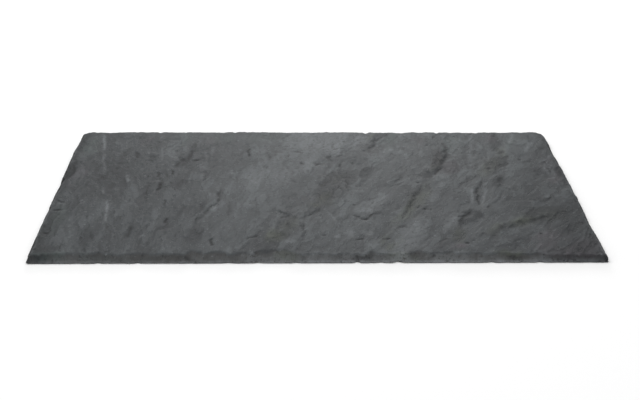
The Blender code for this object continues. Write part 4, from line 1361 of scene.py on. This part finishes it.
@dataclass
class SlateSlab:
    """The whole slab: one fine closed mesh, in place of the plain solid."""

    face: CleftFace = CleftFace()
    edges: ChippedEdges = ChippedEdges()
    underside: Underside = Underside()
    markings: Markings = Markings()
    finish: RivenSlate = RivenSlate()
    cell: float = 2.3  # the top's cells are half as large
    border: float = 9.0  # cells are smaller still within this of the edges
    border_cells: int = 8
    sharp_angle: float = 60.0
    hollow_passes: int = 6  # how often heights are averaged with their neighbours' for the wide hollows
    hollow_shade_near: float = 1.6  # how dark the painted shade is for each millimetre below the nearest neighbours
    hollow_shade_far: float = 2.2  # and for each millimetre below the wide average

    def build(self) -> bpy.types.Object:
        """Makes the mesh: a block of fine cells whose vertices are moved to the rock's faces.

        Returns:
            The slab, in place, with its tints in mesh attributes.
        """
        edges = self.edges
        cells = tuple(
            round((size - 2 * self.border) / self.cell) + 2 * self.border_cells
            for size in (edges.length, edges.depth)
        )
        bm = self._block(cells)
        unit = np.array([vert.co for vert in bm.verts])
        is_top = unit[:, 2] > 0.5
        on_rim = np.isclose(np.abs(unit[:, :2]).max(axis=1), 1.0)
        x, y = self._spread(unit, cells)
        undercut = np.where(on_rim & ~is_top, edges.lip_undercut, 0.0)
        x -= np.sign(x) * undercut
        y -= np.sign(y) * undercut
        top, chipped = edges.chip(x, y, self.face.height(x, y))
        top = np.where(on_rim, edges.lip(x, y), top)
        z = np.where(is_top, top, self.underside.height(x, y))

        low, high = CAD_BOX
        places = np.clip(np.stack([x, y, z], axis=1) * MM, low, high)
        for vert, place in zip(bm.verts, places):
            vert.co = place
        mesh = bpy.data.meshes.new("riven_slab")
        bm.to_mesh(mesh)
        bm.free()
        mesh.shade_smooth()
        mesh.set_sharp_from_angle(angle=math.radians(self.sharp_angle))
        slab = bpy.data.objects.new("riven_slab", mesh)
        bpy.context.scene.collection.objects.link(slab)
        shares = self.markings.shares(x, y, self.face)
        shares[Tint.CHIPPED] = chipped
        # painted shade, with some dirt, in the hollows, kept off the chipped edges
        shares[Tint.HOLLOW_SHADE] = self._hollow_shade(mesh, z) * (1.0 - chipped)
        for tint, share in shares.items():
            attribute = mesh.attributes.new(tint.value, "FLOAT", "POINT")
            attribute.data.foreach_set("value", np.where(is_top, share, 0.0).astype(np.float32))
        return slab

    def dress(self, slab: bpy.types.Object) -> None:
        """Gives the slab its finish and puts it in the solid's place.

        Args:
            slab: the slab that build made.
        """
        slab.data.materials.append(self.finish.material())
        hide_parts(NODE)
        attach(slab, "root")

    @staticmethod
    def _block(cells: tuple[int, int]) -> bmesh.types.BMesh:
        """Makes a closed block of cells, two wide, two deep and one high, with finer cells on its top.

        Args:
            cells: how many cells there are along it and across it.

        Returns:
            The block.
        """
        bm = bmesh.new()
        bmesh.ops.create_grid(bm, x_segments=cells[0], y_segments=cells[1], size=1.0)
        raised = bmesh.ops.extrude_face_region(bm, geom=bm.faces[:], use_keep_orig=True)["geom"]
        top = [item for item in raised if isinstance(item, bmesh.types.BMVert)]
        bmesh.ops.translate(bm, verts=top, vec=(0.0, 0.0, 1.0))
        bmesh.ops.recalc_face_normals(bm, faces=bm.faces[:])
        top_edges = [edge for edge in bm.edges if all(vert.co.z > 0.5 for vert in edge.verts)]
        bmesh.ops.subdivide_edges(bm, edges=top_edges, cuts=1, use_grid_fill=True)
        return bm

    def _spread(self, unit: np.ndarray, cells: tuple[int, int]) -> tuple[np.ndarray, np.ndarray]:
        """Spreads the block's vertices over the outline, closer together in the border.

        Args:
            unit: the vertices, evenly spaced from -1 to 1 along the slab and across it.
            cells: how many cells there are along it and across it.

        Returns:
            The X and Y of each vertex.
        """
        edges = self.edges
        along, across = (
            np.interp(
                places,
                (-1.0, 2.0 * self.border_cells / count - 1.0, 1.0 - 2.0 * self.border_cells / count, 1.0),
                (-1.0, 2.0 * self.border / size - 1.0, 1.0 - 2.0 * self.border / size, 1.0),
            )
            for places, count, size in zip(unit.T, cells, (edges.length, edges.depth))
        )
        left, right = edges.left(across * edges.depth / 2), edges.right(across * edges.depth / 2)
        x = left + (along + 1.0) / 2 * (right - left)
        front, back = edges.front(x), edges.back(x)
        return x, front + (across + 1.0) / 2 * (back - front)

    def _hollow_shade(self, mesh: bpy.types.Mesh, z: np.ndarray) -> np.ndarray:
        """Finds the hollows of the surface, which get painted shade.

        Args:
            mesh: the slab's mesh.
            z: the height of its vertices, in millimetres.

        Returns:
            The painted shade at each vertex, from how far it lies below its neighbours, near and further
            away. Crests are below 0.
        """
        ends = np.zeros(len(mesh.edges) * 2, np.int32)
        mesh.edges.foreach_get("vertices", ends)
        start, end = ends.reshape(-1, 2).T
        count = np.bincount(start, minlength=len(z)) + np.bincount(end, minlength=len(z))
        levels = [z]
        for _ in range(self.hollow_passes):
            level = levels[-1]
            total = np.bincount(start, level[end], len(z)) + np.bincount(end, level[start], len(z))
            levels.append(total / count)
        return self.hollow_shade_near * (levels[1] - z) + self.hollow_shade_far * (levels[-1] - z)


@dataclass(frozen=True)
class Lamp:
    """A soft box: where it is, in metres, its width and height, and its power in watts."""

    name: str
    place: tuple[float, float, float]
    size: tuple[float, float]
    power: float


@dataclass(frozen=True)
class Studio:
    """A plain white floor under soft light, and a normal lens that looks down at the slab from its front."""

    floor_size: float = 8.0  # in metres
    floor_gap: float = 0.05  # in millimetres, under the slab
    floor_colour: str = "#f4f4f4"
    floor_roughness: float = 0.9
    floor_specular: float = 0.2
    world_colour: str = "#ffffff"
    world_strength: float = 0.74
    lamps: tuple[Lamp, ...] = (
        Lamp("overhead soft box", (0.0, 0.4, 3.0), (2.4, 1.8), 15.0),
        Lamp("back soft box", (0.07, 1.9, 0.55), (0.9, 0.4), 12.0),
        Lamp("left soft box", (-1.8, 1.5, 2.3), (1.4, 1.0), 30.0),
    )
    lens: float = 53.11
    camera_place: tuple[float, float, float] = (-16.1, -637.3, 357.1)  # in millimetres
    camera_pitch: float = 29.71  # down from level
    frame_width: float = 640.0  # in pixels
    principal_column: float = 294.13  # the pixel column that the lens's axis is on

    def lay_floor(self) -> bpy.types.Object:
        """Lays the floor just under the slab.

        Returns:
            The floor.
        """
        bm = bmesh.new()
        bmesh.ops.create_grid(bm, x_segments=1, y_segments=1, size=self.floor_size / 2)
        bmesh.ops.translate(bm, verts=bm.verts[:], vec=(0.0, 0.0, -self.floor_gap * MM))
        mesh = bpy.data.meshes.new("floor")
        bm.to_mesh(mesh)
        bm.free()
        floor = bpy.data.objects.new("floor", mesh)
        bpy.context.scene.collection.objects.link(floor)
        # matt paint has hardly a sheen, so nothing but the slab's soft shadow shows on it
        paint = bpy.data.materials.new("matt white paint")
        paint.use_nodes = True
        shader = paint.node_tree.nodes["Principled BSDF"]
        shader.inputs["Base Color"].default_value = linear(self.floor_colour)
        shader.inputs["Roughness"].default_value = self.floor_roughness
        shader.inputs["Specular IOR Level"].default_value = self.floor_specular
        mesh.materials.append(paint)
        return floor

    def light(self) -> None:
        """Sets up the world's even light and the soft boxes, which all face the slab."""
        scene = bpy.context.scene
        scene.view_settings.view_transform = "Standard"
        world = bpy.data.worlds.new("studio")
        world.use_nodes = True
        background = world.node_tree.nodes["Background"]
        background.inputs["Color"].default_value = linear(self.world_colour)
        background.inputs["Strength"].default_value = self.world_strength
        scene.world = world
        for lamp in self.lamps:
            light = bpy.data.lights.new(lamp.name, "AREA")
            light.shape = "RECTANGLE"
            light.size, light.size_y = lamp.size
            light.energy = lamp.power
            box = bpy.data.objects.new(lamp.name, light)
            box.location = lamp.place
            box.rotation_euler = (-Vector(lamp.place)).to_track_quat("-Z", "Y").to_euler()
            scene.collection.objects.link(box)

    def aim_camera(self) -> None:
        """Makes the scene's camera, level from side to side and tilted down at the slab."""
        scene = bpy.context.scene
        camera = bpy.data.objects.new("camera", bpy.data.cameras.new("camera"))
        camera.data.lens = self.lens
        camera.data.shift_x = 0.5 - self.principal_column / self.frame_width
        camera.location = Vector(self.camera_place) * MM
        camera.rotation_euler = (math.radians(90.0 - self.camera_pitch), 0.0, 0.0)
        scene.collection.objects.link(camera)
        scene.camera = camera


def main() -> None:
    """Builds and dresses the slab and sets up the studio."""
    slate_slab = SlateSlab()
    slab = slate_slab.build()
    slate_slab.dress(slab)
    log.info("%s: %d faces", slab.name, len(slab.data.polygons))
    studio = Studio()
    floor = studio.lay_floor()
    log.info("%s: laid under the slab", floor.name)
    studio.light()
    studio.aim_camera()


if __name__ == "__main__":
    main()
